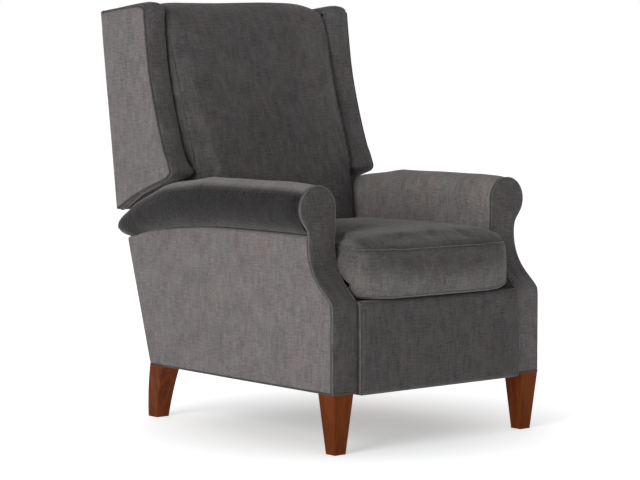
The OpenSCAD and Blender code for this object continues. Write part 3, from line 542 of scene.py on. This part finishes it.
def facing_width(z):
    """Inner and outer edge of the keyhole facing at a height."""
    inner = read([(underside, 0.2597), (0.34, 0.2597), (0.42, 0.2575), (0.51, 0.2555), (roll_z, 0.2552)], z)
    outer = read([(underside, 0.3325), (0.500, 0.3325), (0.510, 0.3331), (0.517, 0.3350), (0.524, 0.3388),
                  (neck_end, 0.3460)], z)
    reach = roll_wide * math.sqrt(max(0.0, 1 - ((z - roll_z) / roll_high) ** 2))
    if z > neck_end:
        outer = roll_x + reach
    if z > roll_z:
        inner = roll_x - reach
    return inner, outer


def gap_to(line, p):
    """How far a point lies from the nearest stretch of a closed line."""
    gaps = []
    for a, b in zip(line, line[1:] + line[:1]):
        share = limited((p - a).dot(b - a) / max((b - a).length_squared, 1e-12))
        gaps.append((p - (a + (b - a) * share)).length)
    return min(gaps)


heights = [underside + d for d in (0, 0.0006, 0.0018, 0.0035, 0.006, 0.010)]
heights += [0.1535 + 0.345 * (k + 1) / 36 for k in range(36)]
heights += [0.502, 0.5055, 0.509, 0.512, 0.5150, 0.519, 0.523, 0.528, neck_end]
heights += [roll_z + 0.0534 * math.sin(math.radians(a)) for a in range(-40, 87, 6)] + [0.6249]
near_side = [Vector((facing_width(z)[0], z)) for z in heights]
far_side = [Vector((facing_width(z)[1], z)) for z in heights]
keyhole = near_side + far_side[::-1]
rows, across = len(heights), 23
board, wadding, fullness = 0.0050, 0.0075, 0.0022    # how far the facing stands out, layer by layer
for side, hand in ((-1, "left"), (1, "right")):
    points, flat = [], []
    for near, far in zip(near_side, far_side):
        for i in range(across):
            p = near.lerp(far, 0.5 - 0.5 * math.cos(math.pi * i / (across - 1)))
            gap = gap_to(keyhole, p)
            e = min(gap / wadding, 1.0)
            h = board + wadding * math.sqrt(1 - (1 - e) ** 2) + fullness * min(gap / 0.03, 1.0) ** 2
            h += 0.0005 * noise.noise(Vector((p.x * 21, p.y * 17, 2.2 + side))) * e
            points.append((side * p.x, arm_front(p.y) + 0.0140 - h, p.y))
            flat.append((p.x, p.y))
    faces, ring, start = grid_faces(rows, across), rim_of(rows, across), len(points)
    for k in range(start):
        x, y, z = points[k]
        points.append((x, arm_front(z) + 0.0135, z))
        flat.append((flat[k][0] + 0.01, flat[k][1]))
    faces += [tuple(start + k for k in reversed(face)) for face in faces]
    faces += [(a, b, start + b, start + a) for a, b in zip(ring, ring[1:] + ring[:1])]
    facing = dress(f"{hand}_arm_facing_pad", points, faces, flat, facing_cloth[hand], "base")
    # Painted light share: full on the lower shaft, none towards the roll; only the right facing's material
    # reads it.
    lay_light_share(facing, [ease((0.47 - p[2]) / 0.12) for p in points])
    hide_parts(f"{hand}_arm_facing")
    welt(f"{hand}_facing_welt", [(side * p.x, arm_front(p.y) + 0.0055, p.y) for p in keyhole],
         0.0020, welt_highlight_cloth, "base")
    welt(f"{hand}_facing_hem", [(side * 0.263, -0.0145, hem_height), (side * 0.3315, -0.0145, hem_height)],
         0.0022, shaded_chenille, "base")

# Seat cushion: a loose-looking box cushion of foam wrapped in down, its front lip lapping over the seat
# frame. The boxing is sewn to the top and the bottom with a plain seam that draws the cloth in.
# The seat takes a paler and a darker copy of the chenille, mixed per point as painted light and shade.
seat_cloth = paint_light_share(chenille("chenille_seat", (0.178, 0.170, 0.164), (0.060, 0.057, 0.055), sheen=0.28),
                   (0.100, 0.096, 0.093), (0.033, 0.031, 0.030))
deck_height = 0.396    # where the cushion lies on the deck


def cushion_section(x, half, trim):
    """Section of the seat cushion from front to back at x, as (y, z), drawn in by trim all round."""
    s = min(abs(x) / half, 1.0)
    end = 1 - (1 - s ** 12) ** 0.6
    corner = 1 - math.sqrt(1 - s ** 8)    # its right front corner is rounder than the left one
    front = -0.040 + 0.006 * s * s + (0.065 if x > 0 else 0.050) * corner + trim
    top = 0.499 + 0.009 * (1 - s ** 4) - 0.007 * end - trim
    edge = 0.499 - 0.007 * end - trim
    low, back = 0.3545 + (0.026 if x > 0 else 0.012) * corner + trim, 0.572 - 0.010 * end - trim
    foot = deck_height + trim
    line = [(max(0.026, front + 0.018), low), (front + 0.010, low + 0.001), (front + 0.003, low + 0.014),
            (front, (low + edge) / 2), (front + 0.001, edge - 0.034), (front + 0.012, edge - 0.014),
            (front + 0.036, edge - 0.001), (front + 0.11, top - 0.002), (front + 0.28, top),
            (back - 0.13, top - 0.002), (back - 0.034, edge - 0.004), (back - 0.006, edge - 0.018),
            (back, (deck_height + edge) / 2), (back - 0.008, 0.404 + trim), (back - 0.02, foot),
            (0.20, foot), (max(0.034, front + 0.026), foot)]
    return smooth_line(line + [line[0]], 4)[:-1]


def loft(name, sections, xs, material, body):
    """A closed form through sections at each x."""
    points, flat = [], []
    for section, x in zip(sections, xs):
        for p in section:
            points.append((x, p.x, p.y))
            flat.append((x, p.x + p.y))
    return dress(name, points, tube_faces(len(xs), len(sections[0])), flat, material, body)


def stuff(piece, voxel, pressure, reach, held):
    """Fills a closed piece: it is remeshed, blown up as cloth with its held points fixed, and moves
    no further than reach."""
    bpy.context.view_layer.objects.active = piece
    remesh = piece.modifiers.new("even_mesh", "REMESH")
    remesh.mode = "VOXEL"
    remesh.voxel_size = voxel
    remesh.use_smooth_shade = True
    settle(piece)
    mesh = piece.data
    rest = [v.co.copy() for v in mesh.vertices]
    filling = piece.modifiers.new("filling", "CLOTH")
    cloth = filling.settings
    cloth.quality = 6
    cloth.mass = 0.35
    cloth.tension_stiffness = cloth.compression_stiffness = 12.0
    cloth.shear_stiffness = 4.0
    cloth.bending_stiffness = 0.6
    cloth.use_pressure = True
    cloth.uniform_pressure_force = pressure
    cloth.effector_weights.gravity = 0.0
    filling.collision_settings.use_collision = False
    pins = piece.vertex_groups.new(name="held")
    for v in mesh.vertices:
        weight = held(v.co - Vector((0, front_plane, 0)))
        if weight > 0:
            pins.add([v.index], weight, "REPLACE")
    cloth.vertex_group_mass = "held"
    for step in range(1, 21):
        scene.frame_set(step)
    settle(piece)
    for v, old in zip(piece.data.vertices, rest):
        move = v.co - old
        if move.length > reach:
            v.co = old + move * (reach / move.length)
    scene.frame_set(1)
    piece.vertex_groups.clear()


def settle(piece):
    """Turns a piece's modifiers into its mesh."""
    bpy.context.view_layer.update()
    seen = piece.evaluated_get(bpy.context.evaluated_depsgraph_get())
    done = bpy.data.meshes.new_from_object(seen)
    old = piece.data
    piece.modifiers.clear()
    piece.data = done
    bpy.data.meshes.remove(old)
    done.name = piece.name


def cut_by_sides(piece, material):
    """Lays the "cloth" map on a remeshed piece from whichever side each face looks to."""
    mesh = piece.data
    while mesh.uv_layers:
        mesh.uv_layers.remove(mesh.uv_layers[0])
    cut = mesh.uv_layers.new(name="cloth")
    for face in mesh.polygons:
        size = [abs(c) for c in face.normal]
        axis = size.index(max(size))
        for k in face.loop_indices:
            p = mesh.vertices[mesh.loops[k].vertex_index].co
            cut.data[k].uv = ((p.y, p.z), (p.x, p.z), (p.x, p.y))[axis]
    mesh.polygons.foreach_set("use_smooth", [True] * len(mesh.polygons))
    mesh.materials.clear()
    mesh.materials.append(material)


def draw_in(piece, lines, depth, width):
    """Pulls the cloth in along sewn lines, and returns each line laid on the finished surface."""
    mesh = piece.data
    mesh.update()
    shape = bmesh.new()
    shape.from_mesh(mesh)
    shape.normal_update()
    tree = BVHTree.FromBMesh(shape)
    laid = []
    for line in lines:
        found = [tree.find_nearest(Vector((p[0], p[1] + front_plane, p[2]))) for p in line]
        laid.append([f[0] for f in found])
    shape.verts.ensure_lookup_table()
    normals = [v.normal.copy() for v in shape.verts]
    dense = [a.lerp(b, share) for line in laid for a, b in zip(line, line[1:])
             for share in (0.0, 0.33, 0.67)]
    near = KDTree(len(dense))
    for i, q in enumerate(dense):
        near.insert(q, i)
    near.balance()
    for v, normal in zip(mesh.vertices, normals):
        _, _, far = near.find(v.co)
        if far < 3 * width:
            v.co -= normal * depth * math.exp(-(far / width) ** 2)
    shape.free()
    mesh.update()
    return [[p - Vector((0, front_plane, 0)) for p in line] for line in laid]


def both_ways(sides):
    """Stations across a cushion, from its left side over its middle to its right side."""
    return [-s for s in sides] + [0] + sides[::-1]


def rectangle(half, low, high):
    """The bottom, top, left and right edges of a panel that is cut straight."""
    return [[(-half, low), (half, low)], [(-half, high), (half, high)],
            [(-half, low), (-half, high)], [(half, low), (half, high)]]


half = 0.2510
stations = both_ways([1, 0.996, 0.988, 0.975, 0.955, 0.93, 0.89, 0.83, 0.76, 0.66, 0.55, 0.42, 0.28, 0.14])
slack = 0.003    # how much smaller a cushion is cut than it is when it is stuffed
seat = loft("seat_cushion_cover", [cushion_section(s * half, half, slack) for s in stations],
            [s * (half - slack) for s in stations], seat_cloth, "seat")
stuff(seat, voxel=0.0062, pressure=2.6, reach=0.010,
      held=lambda p: 1.0 if p.z < (0.402 if p.y > 0.05 else 0.362) else 0.0)
plan = [(0.12, -0.0382), (0.2004, -0.0305), (0.2255, -0.0192), (0.238, -0.0073), (0.2455, 0.0057),
        (0.250, 0.040), (0.250, 0.10), (0.249, 0.50)]
rounded = smooth_line([(-x, y) for x, y in reversed(plan)] + [(0, -0.040)] + plan, 8)
seam_height = 0.4835
top_seam = [(p.x, p.y, seam_height + 0.0045 * max(0.0, 1 - ((p.x + 0.07) / 0.2) ** 2)
             - 0.004 * (abs(p.x) / 0.25) ** 6) for p in rounded]
low_seam = [(p.x, p.y, 0.3595 + (0.024 if p.x > 0 else 0.011) * (abs(p.x) / 0.25) ** 8) for p in rounded]
laid_seams = draw_in(seat, [top_seam], depth=0.0030, width=0.006)
laid_seams += draw_in(seat, [low_seam], depth=0.0006, width=0.004)
light_share = []
for v in seat.data.vertices:
    x, y, z = v.co.x, v.co.y - front_plane, v.co.z
    rumple = noise.noise(Vector((x * 9 + y * 5, y * 21, 4.4)))
    rumple += 0.6 * noise.noise(Vector((x * 30, y * 44 + x * 12, 9.1)))
    v.co.z += 0.0018 * rumple * limited((z - 0.45) / 0.03)
    # Painted light on the seat: the top paler towards the back and darker at the front, the front boxing
    # darker under the top seam and paler lower down, the left end paler where the lamp falls and the right
    # end a little paler; random patches are mixed in.
    if z > seam_height:
        seat_light_share = 0.15 + 0.90 * ease((y + 0.025) / 0.17)
    else:
        seat_light_share = 0.08 + 0.62 * ease((0.445 - z) / 0.06)
    seat_light_share += (0.55 if x < 0 else 0.25) * ease((abs(x) - 0.215) / 0.03)
    light_share.append(limited(seat_light_share + 0.30 * noise.noise(Vector((x * 7 + y * 6, y * 34 + z * 20, 3.3)))))
cut_by_sides(seat, seat_cloth)
lay_light_share(seat, light_share)
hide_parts("seat_cushion")
for label, line, thick in zip(("top", "low"), laid_seams, (0.0014, 0.0022)):
    welt(f"seat_{label}_seam", line, thick, welt_highlight_cloth, "seat")
border = padded_panel("seat_front_border", rectangle(0.2500, 0.3480, deck_height),
                      lambda a, b, h: (a, 0.0266 - h, b), shaded_chenille, "seat",
                      thick=0.0030, roll=0.0025, crown=0.0, pitch=0.02)

# Inside back: a tight, full cushion between the wings, rounder at the loins, rolled over the top rail and
# sewn to narrow side bands. It is stuffed with foam and fibre and closed onto the back frame.
# The inside back's chenille is mixed per point between a paler and a darker copy, as painted light and shade.
back_cloth = paint_light_share(
    chenille("chenille_inside_back", (0.136, 0.129, 0.126), (0.0415, 0.039, 0.039), sheen=0.30),
    (0.111, 0.105, 0.103), (0.034, 0.032, 0.032))


def back_section(x, half, trim):
    """Section of the inside back at x, from the foot up the front, over the top and down the rear."""
    s = min(abs(x) / half, 1.0)
    full = 1 - s ** 10
    c = 0.014 * full - trim
    top = 1.0560 + 0.0085 * (1 - s ** 9) + 0.0030 * math.sin(math.pi * s) * (1 if x > 0 else -1) - trim
    line = [(0.612, 0.404 + trim), (0.596 - c * 0.2, 0.414 + trim), (0.586 - c * 0.5, 0.499),
            (0.596 - c, 0.600), (0.613 - c, 0.655), (0.647 - c, 0.753), (0.698 - c, 0.903),
            (0.729 - c, 1.014), (0.746 - c * 0.7, 1.047 - trim), (0.764, top - 0.003), (0.790, top),
            (0.842, top - 0.008), (0.895, 1.046 - trim), (0.9105, 1.034 - trim), (0.909, 1.0285)]
    return smooth_line(line, 4) + [Vector((0.84, 1.0285)), Vector((0.722, 0.404 + trim))]


half = 0.2550


def spread(z):
    """How much wider the inside back is above the arms than between them."""
    return read([(0.618, 1.0), (0.650, 1.058), (0.80, 1.052), (1.06, 1.034)], z)


stations = both_ways([1, 0.997, 0.990, 0.978, 0.96, 0.93, 0.88, 0.81, 0.72, 0.60, 0.46, 0.30, 0.15])
back = loft("inside_back_cover", [back_section(s * half, half, slack) for s in stations],
            [s * (half - 0.3 * slack) for s in stations], back_cloth, "back")
for v in back.data.vertices:
    v.co.x *= spread(v.co.z)
stuff(back, voxel=0.0066, pressure=2.4, reach=0.009,
      held=lambda p: 1.0 if p.y > 0.72 and p.z < 1.02 else 0.0)
side_line = smooth_line([(0.590, 0.425), (0.588, 0.50), (0.598, 0.600), (0.614, 0.655), (0.648, 0.753),
                         (0.699, 0.903), (0.731, 1.012), (0.748, 1.045), (0.775, 1.060)], 10)
back_seams = [[(side * 0.2525 * spread(p.y), p.x, p.y) for p in side_line] for side in (-1, 1)]
laid_seams = draw_in(back, back_seams, depth=0.0016, width=0.006)
cut_by_sides(back, back_cloth)
# Painted light: the right side and the lower part of the inside back are paler.
lay_light_share(back, [min(1.0, 0.85 * ease((v.co.x - 0.06) / 0.14) + 0.6 * ease((0.76 - v.co.z) / 0.12))
                for v in back.data.vertices])
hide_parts("back_cushion")
# The right seam takes the paler welt chenille as a painted highlight; the left one takes the inside back's
# own copy.
for hand, line, cloth in zip(("left", "right"), laid_seams, (back_cloth, welt_highlight_cloth)):
    welt(f"inside_back_{hand}_seam", line, 0.0011, cloth, "back")

# Wings: plywood panels padded on both sides. The front edge is a soft rounded band, the outside is a
# separate panel sewn in with a double welt along its top, front and lower edges, and the band turns under
# along the bottom, just above the arm.
# Painted light on the wings: the outside panels take a paler copy of the chenille for the side facing the
# lamp; the left band takes the inside back's darker tone and the right band a paler copy.
wing_cloth = chenille("chenille_wing_outside", (0.190, 0.178, 0.175), (0.077, 0.072, 0.071))
band_cloth = {"left": back_cloth, "right": chenille(
    "chenille_right_wing", (0.130, 0.124, 0.122), (0.040, 0.038, 0.038), sheen=0.30)}
wing_front = smooth_line([(0.6125, 0.6420), (0.627, 0.668), (0.643, 0.697), (0.674, 0.784), (0.702, 0.885),
                          (0.718, 0.985), (0.7245, 1.037)], 7)
wing_top = smooth_line([(0.7245, 1.037), (0.7290, 1.0530), (0.744, 1.0590), (0.82, 1.0545),
                        (0.915, 1.0460)], 6)
wing_rear = [Vector((0.915, 1.046)), Vector((0.9085, 0.98)), Vector((0.8475, 0.543)), Vector((0.8455, 0.534))]
wing_low = smooth_line([(0.8455, 0.5335), (0.820, 0.538), (0.74, 0.580), (0.645, 0.6130), (0.622, 0.6215),
                        (0.6125, 0.6320), (0.6125, 0.6420)], 7)
wing_outline = wing_low[:-1] + wing_front[:-1] + wing_top[:-1] + wing_rear[:-1]
reach_in, plump = [], []
for p in wing_outline:
    top_share = limited((p.y - 0.990) / 0.045)
    front_share = limited((0.725 - p.x) / 0.03) * limited((p.y - 0.66) / 0.06)
    along_top = 0.0070 - 0.0045 * limited((p.x - 0.75) / 0.14) if p.x < 0.905 else 0.0
    plump.append(top_share * along_top + 0.0030 * front_share * (1 - top_share))
    tip = math.exp(-((p - Vector((0.613, 0.634))).length / 0.03) ** 2)
    ear = math.exp(-((p - Vector((0.727, 1.051))).length / 0.025) ** 2)
    rear = 1.0 if p.x - (p.y - 1.0) * 0.13 > 0.88 else 0.0
    reach_in.append(1.0 - 0.74 * tip - 0.35 * ear - 0.85 * rear)
band_steps = [(0.2610, 0.0250), (0.2684, 0.0160), (0.2710, 0.0105), (0.2750, 0.0060), (0.2808, 0.0026),
              (0.2880, 0.0007), (0.2970, -0.0002), (0.3070, -0.0008), (0.3180, -0.0006), (0.3270, 0.0),
              (0.3315, 0.0008), (0.3342, 0.0024), (0.3352, 0.0048)]
panel_low = smooth_line([(0.6180, 0.6370), (0.640, 0.6210), (0.70, 0.6015), (0.74, 0.5875), (0.79, 0.567),
                         (0.832, 0.546), (0.8515, 0.5375)], 5)
panel_top = smooth_line([(0.7295, 1.0465), (0.752, 1.0530), (0.82, 1.0495), (0.9165, 1.0405)], 6)
panel_front = smooth_line([(0.6180, 0.6370), (0.6315, 0.668), (0.647, 0.697), (0.678, 0.784), (0.706, 0.885),
                           (0.722, 0.985), (0.7295, 1.0465)], 7)
panel_rear = [(0.8515, 0.5375), (0.9125, 0.985), (0.9165, 1.0405)]
for side, hand in ((-1, "left"), (1, "right")):
    points, flat, count = [], [], len(wing_outline)
    for x, inset in band_steps:
        gone, swell = 0.0, math.sin(math.pi * limited((x - 0.2670) / 0.0682)) ** 0.7
        for k, p in enumerate(wing_outline):
            ahead = wing_outline[(k + 1) % count] - wing_outline[k - 1]
            inward = Vector((ahead.y, -ahead.x)).normalized()
            q = p + inward * (inset * reach_in[k] - swell * plump[k])
            gone += (p - wing_outline[k - 1]).length if k else 0.0
            points.append((side * x, q.x, q.y))
            flat.append((x, gone))
    faces = tube_faces(len(band_steps), count)
    wing = dress(f"{hand}_wing_band", points, faces, flat, band_cloth[hand], "back")
    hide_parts(f"{hand}_wing")
    outside = padded_panel(
        f"{hand}_wing_outside_panel", [panel_low, panel_top, panel_front, panel_rear],
        lambda a, b, h: (side * (0.3325 + h), a, b), wing_cloth, "back",
        thick=0.0078, roll=0.005, crown=0.0022, pitch=0.015, creases=0.0006)
    around = list(reversed(panel_low)) + panel_front[1:] + panel_top[1:]
    # The welt takes its side's facing copy: darker on the left, paler on the right, as painted light.
    welt(f"{hand}_wing_welt", [(side * 0.3370, p.x, p.y) for p in around], 0.0022, facing_cloth[hand], "back")
    lower_edge = [(side * 0.3295, p.x, p.y) for p in wing_low[::-1][2:] if p.x > 0.66][::-1]
    welt(f"{hand}_wing_lower_welt", lower_edge, 0.0017, wing_cloth, "back")

# Outside back: a flat panel of chenille on a light board, over the full width, blind-stapled with a welt
# all round. A skirt closes the back between the arms, and a fixed panel closes the base below it.
back_slope = math.tan(math.radians(7.5))


def rear_face(z):
    """Rear face of the back at a height."""
    return 0.857 + (z - 0.530) * back_slope


back_half, back_low, back_high = 0.3365, 0.5355, 1.0445
outside_back = padded_panel("outside_back_cover", rectangle(back_half, back_low, back_high),
                            lambda a, b, h: (a, rear_face(b) - 0.0118 + h, b), shaded_chenille, "back",
                            thick=0.0112, roll=0.008, crown=0.0016, pitch=0.02, creases=0.0008)
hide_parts("outside_back")
welt("outside_back_welt", [(x, rear_face(z) - 0.007, z) for x, z in (
    (-back_half, back_low), (-back_half, back_high), (back_half, back_high), (back_half, back_low))],
     0.0024, welt_highlight_cloth, "back", closed=True)


def heel_face(z):
    """Rear face of the base at a height, along the raked rear edge of the arms."""
    return 0.712 + (z - 0.143) * heel


skirt_turn, skirt_join = 0.4545, 0.504    # where the skirt leaves the arms' line and takes up the back's


def skirt_face(z):
    """Rear face of the skirt: up the line of the arms' rear edge, then up the line of the back."""
    if z < skirt_turn:
        return heel_face(z)
    if z < skirt_join:
        share = (z - skirt_turn) / (skirt_join - skirt_turn)
        return heel_face(skirt_turn) + (rear_face(skirt_join) - heel_face(skirt_turn)) * share
    return rear_face(z)


skirt = padded_panel("outside_back_skirt_cover", rectangle(0.2535, 0.4010, 0.5345),
                     lambda a, b, h: (a, skirt_face(b) - 0.0100 + h, b), shaded_chenille, "back",
                     thick=0.0095, roll=0.006, crown=0.0008, pitch=0.012, creases=0.0006)
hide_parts("outside_back_skirt")
lower_panel = padded_panel("lower_rear_cover", rectangle(0.2600, underside, 0.3855),
                           lambda a, b, h: (a, heel_face(b) - 0.0148 + h, b), shaded_chenille, "base",
                           thick=0.0142, roll=0.004, crown=0.0008, pitch=0.02, creases=0.0006)
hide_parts("lower_rear_panel")
hem_y = heel_face(hem_height) - 0.003
welt("lower_rear_hem", [(-0.256, hem_y, hem_height), (0.256, hem_y, hem_height)], 0.0022, shaded_chenille, "base")

# Footrest pad: the upholstered front board, foam over plywood, wrapped in chenille with a welt down both
# sides, rolled over at the top and turned under at the bottom. It fills the space between the two facings.
# The footrest takes a darker copy of the chenille, as painted shade.
foot_cloth = chenille("chenille_footrest", (0.095, 0.090, 0.088), (0.0305, 0.029, 0.029), sheen=0.24)
footrest = padded_panel("footrest_pad_cover", rectangle(0.2560, 0.1380, 0.3560),
                        lambda a, b, h: (a, -0.0005 - h, b), foot_cloth, "footrest", thick=0.0275,
                        roll=0.011, crown=0.0035, pitch=0.012, creases=0.0009, under=-0.0092)
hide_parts("footrest_pad")
for side, hand in ((-1, "left"), (1, "right")):
    welt(f"footrest_{hand}_welt", [(side * 0.2572, -0.0215, 0.1395), (side * 0.2574, -0.0225, 0.2500),
                                   (side * 0.2572, -0.0205, 0.3480), (side * 0.2560, -0.0130, 0.3545)],
         0.0021, welt_highlight_cloth, "footrest")
welt("footrest_hem", [(-0.2525, -0.0190, 0.1390), (0.2525, -0.0190, 0.1390)], 0.0022, shaded_chenille, "footrest")

# Seat deck: black woven lining stretched over the seat springs and stapled to the frame. It dips a
# little between the rails.
deck_low, deck_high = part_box("seat_deck")
lining = chenille("deck_lining", (0.030, 0.030, 0.031), (0.010, 0.010, 0.011), sheen=0.05)
wide, deep = deck_high.x - deck_low.x, deck_high.y - deck_low.y
points, flat, count = [], [], 25
for j in range(count):
    for i in range(count):
        u, v = i / (count - 1), j / (count - 1)
        sag = 0.0016 * (16 * u * (1 - u) * v * (1 - v)) ** 0.5
        points.append((deck_low.x + u * wide, deck_low.y - front_plane + v * deep, deck_low.z + 0.0026 - sag))
        flat.append((u * wide, v * deep))
deck = dress("seat_deck_cloth", points, grid_faces(count, count), flat, lining, "seat")
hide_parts("seat_deck")

# Legs: solid hardwood sawn to a square taper, its edges eased, stained cherry brown under a satin lacquer.
# The front legs stand straight, the rear ones sweep backwards. Each is screwed up onto a hanger bolt.
def grain_effect():
    """Wood figure along Z of the vector it is given: rings drawn out into streaks, with pores."""
    group, given, result = group_of("wood_figure", [
        ("Along", "Vector", None), ("Early", "Color", (0.3, 0.15, 0.06, 1)),
        ("Late", "Color", (0.15, 0.06, 0.03, 1)), ("Scale", "Float", 1.0)])
    sized = wire(group, "VectorMath", {0: given["Along"], "Scale": given["Scale"]}, operation="SCALE")
    along = sized.outputs["Vector"]
    rings = cloudy(group, along, (60.0, 60.0, 3.5), 3.0, twist=0.6)
    fibres = cloudy(group, along, (420.0, 420.0, 14.0), 2.0)
    pores = cloudy(group, along, (900.0, 900.0, 60.0), 1.0)
    share = add_up(group, (band(group, fibres, 0.3, 0.7), 0.35), (band(group, rings, 0.38, 0.66), 0.65))
    feed(group, result, {"Color": blend(group, share, given["Early"], given["Late"]),
                         "Roughness": band(group, fibres, 0.2, 0.8), "Height": band(group, pores, 0.35, 0.5)})
    return group


wood_group = grain_effect()


def timber(name, early, late, scale=0.7, dull=0.62, coat=0.0, depth=0.0004, turn=(0.0, 0.0, 0.0)):
    """Wood, bare unless it has a coat, with its figure along Z or turned so that it runs another way."""
    def takes(tree):
        place = wire(tree, "TexCoord", {}).outputs["Object"]
        way = wire(tree, "Mapping", {"Vector": place, "Rotation": turn}).outputs["Vector"]
        return {"Along": way, "Early": (*early, 1), "Late": (*late, 1), "Scale": scale}

    return surface_finish(name, wood_group, takes, strength=0.3, depth=depth, sockets={
        "Specular IOR Level": 0.06, "Coat Weight": coat, "Coat Roughness": 0.25},
        limits=(dull - 0.07, dull + 0.07))


def finish_nodes(names, material):
    """Gives CAD nodes their real finish."""
    for name in names:
        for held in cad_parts[name].material_slots:
            held.material = material


leg_height, rows = 0.1429, 17
easing, shoulder = 0.0013, 0.003    # an eased corner's radius, and how far beside it a point stands
cherry_stain = timber("cherry_stained_leg", (0.152, 0.035, 0.0037), (0.080, 0.0155, 0.002),
                      scale=1.0, dull=0.55, coat=0.015, depth=0.0002)
for end, swept, foot, head in (("front", False, 0.0335, 0.0590), ("rear", True, 0.0380, 0.0560)):
    for side, hand in ((-1, "left"), (1, "right")):
        points, flat = [], []
        for r in range(rows):
            u = r / (rows - 1)
            core = (foot + (head - foot) * u) / 2 - easing
            x, y = 0.302, 0.0135
            if swept:
                x = 0.307 - (0.025 if side < 0 else 0.019) * (1 - u)
                y = 0.685 + 0.065 * (1 - u) * (1.25 - 0.25 * (1 - u))
            for quarter in range(4):
                c, d = math.cos(math.radians(90 * quarter)), math.sin(math.radians(90 * quarter))
                for k in range(-1, 6):
                    turn = math.radians(90 * quarter + 22.5 * min(max(k, 0), 4))
                    before, after = (shoulder if k == -1 else 0.0), (shoulder if k == 5 else 0.0)
                    across = core * (c - d) + easing * math.cos(turn) + before * d - after * c
                    deep = core * (c + d) + easing * math.sin(turn) - before * c - after * d
                    points.append((side * (x + across), y + deep, u * leg_height))
                    flat.append((across + deep, u * leg_height))
        faces = tube_faces(rows, len(points) // rows)
        leg = dress(f"{end}_{hand}_leg_sawn", points, faces, flat, cherry_stain, "base", crease=40.0)
        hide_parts(f"{end}_{hand}_leg")

# Frame timber: the arm and footrest panels are birch plywood, the seat rails sawn hardwood, all unstained.
# Posts, wing panels and rails that a gap could show are wrapped in the black lining first.
birch_upright = timber("birch_upright", (0.62, 0.45, 0.27), (0.47, 0.31, 0.17))
birch_across = timber("birch_across", (0.60, 0.44, 0.27), (0.45, 0.30, 0.17),
                      turn=(0.0, math.radians(90), 0.0))
birch_lengthways = timber("birch_lengthways", (0.60, 0.43, 0.26), (0.46, 0.30, 0.16),
                          turn=(math.radians(90), 0.0, 0.0))
finish_nodes(["left_arm_panel", "right_arm_panel"], birch_upright)
finish_nodes(["seat_cross_rails", "footrest_board"], birch_across)
finish_nodes(["back_posts", "left_wing_panel", "right_wing_panel", "back_rails", "front_rail",
              "rear_rail"], lining)
finish_nodes(["seat_side_rails"], birch_lengthways)

# Mechanism: stamped steel links and plates in black paint, worn thin in patches, on zinc-plated rivets
# and pins. The same links hang on both sides of the seat, tied by two steel tubes.
def rubbed_effect():
    """Patches where handling and dust have changed a metal's finish."""
    group, given, result = group_of("rubbed_metal", [
        ("Place", "Vector", None), ("Clean", "Color", (0.1, 0.1, 0.1, 1)),
        ("Rubbed", "Color", (0.3, 0.3, 0.3, 1)), ("Amount", "Float", 0.3)])
    sockets = {"Vector": given["Place"], "Scale": 34.0, "Detail": 6.0, "Roughness": 0.65}
    patches = wire(group, "TexNoise", sockets).outputs["Fac"]
    peel = wire(group, "TexNoise", {"Vector": given["Place"], "Scale": 620.0}).outputs["Fac"]
    share = add_up(group, (band(group, patches, 0.52, 0.74), given["Amount"]))
    feed(group, result, {"Color": blend(group, share, given["Clean"], given["Rubbed"]),
                         "Roughness": patches, "Height": peel})
    return group


metal_group = rubbed_effect()


def metal(name, clean, rubbed, amount, metallic, smooth_to, rough_to):
    """A steel finish; its roughness runs between two limits over the patches."""
    def takes(tree):
        place = wire(tree, "TexCoord", {}).outputs["Object"]
        return {"Place": place, "Clean": (*clean, 1), "Rubbed": (*rubbed, 1), "Amount": amount}

    return surface_finish(name, metal_group, takes, strength=0.15, depth=0.0002,
                          sockets={"Metallic": metallic}, limits=(smooth_to, rough_to))


black_steel = metal("black_painted_steel", (0.016, 0.016, 0.018), (0.085, 0.082, 0.080),
                    amount=0.5, metallic=0.0, smooth_to=0.30, rough_to=0.55)
zinc_plate = metal("zinc_plated_steel", (0.56, 0.57, 0.58), (0.42, 0.42, 0.42),
                   amount=0.6, metallic=1.0, smooth_to=0.22, rough_to=0.50)
finish_nodes(["left_mounting_rail", "right_mounting_rail", "front_swing_links", "rear_swing_links",
              "left_seat_plate", "right_seat_plate", "seat_cross_tube", "back_brackets", "drive_links",
              "drive_tube", "cross_links", "long_links", "stay_links", "footrest_brackets"], black_steel)
finish_nodes(["leg_bolts", "mounting_pins", "seat_plate_pins", "drive_link_pins", "cross_link_pins",
              "long_link_pins", "footrest_bracket_pins"], zinc_plate)

# Springs: sinuous wire in the seat and the back, drawn and oiled, held at each end on the rails.
spring_wire = metal("oiled_spring_wire", (0.30, 0.30, 0.31), (0.16, 0.14, 0.12),
                    amount=0.7, metallic=1.0, smooth_to=0.28, rough_to=0.52)
finish_nodes(["seat_springs", "back_springs"], spring_wire)
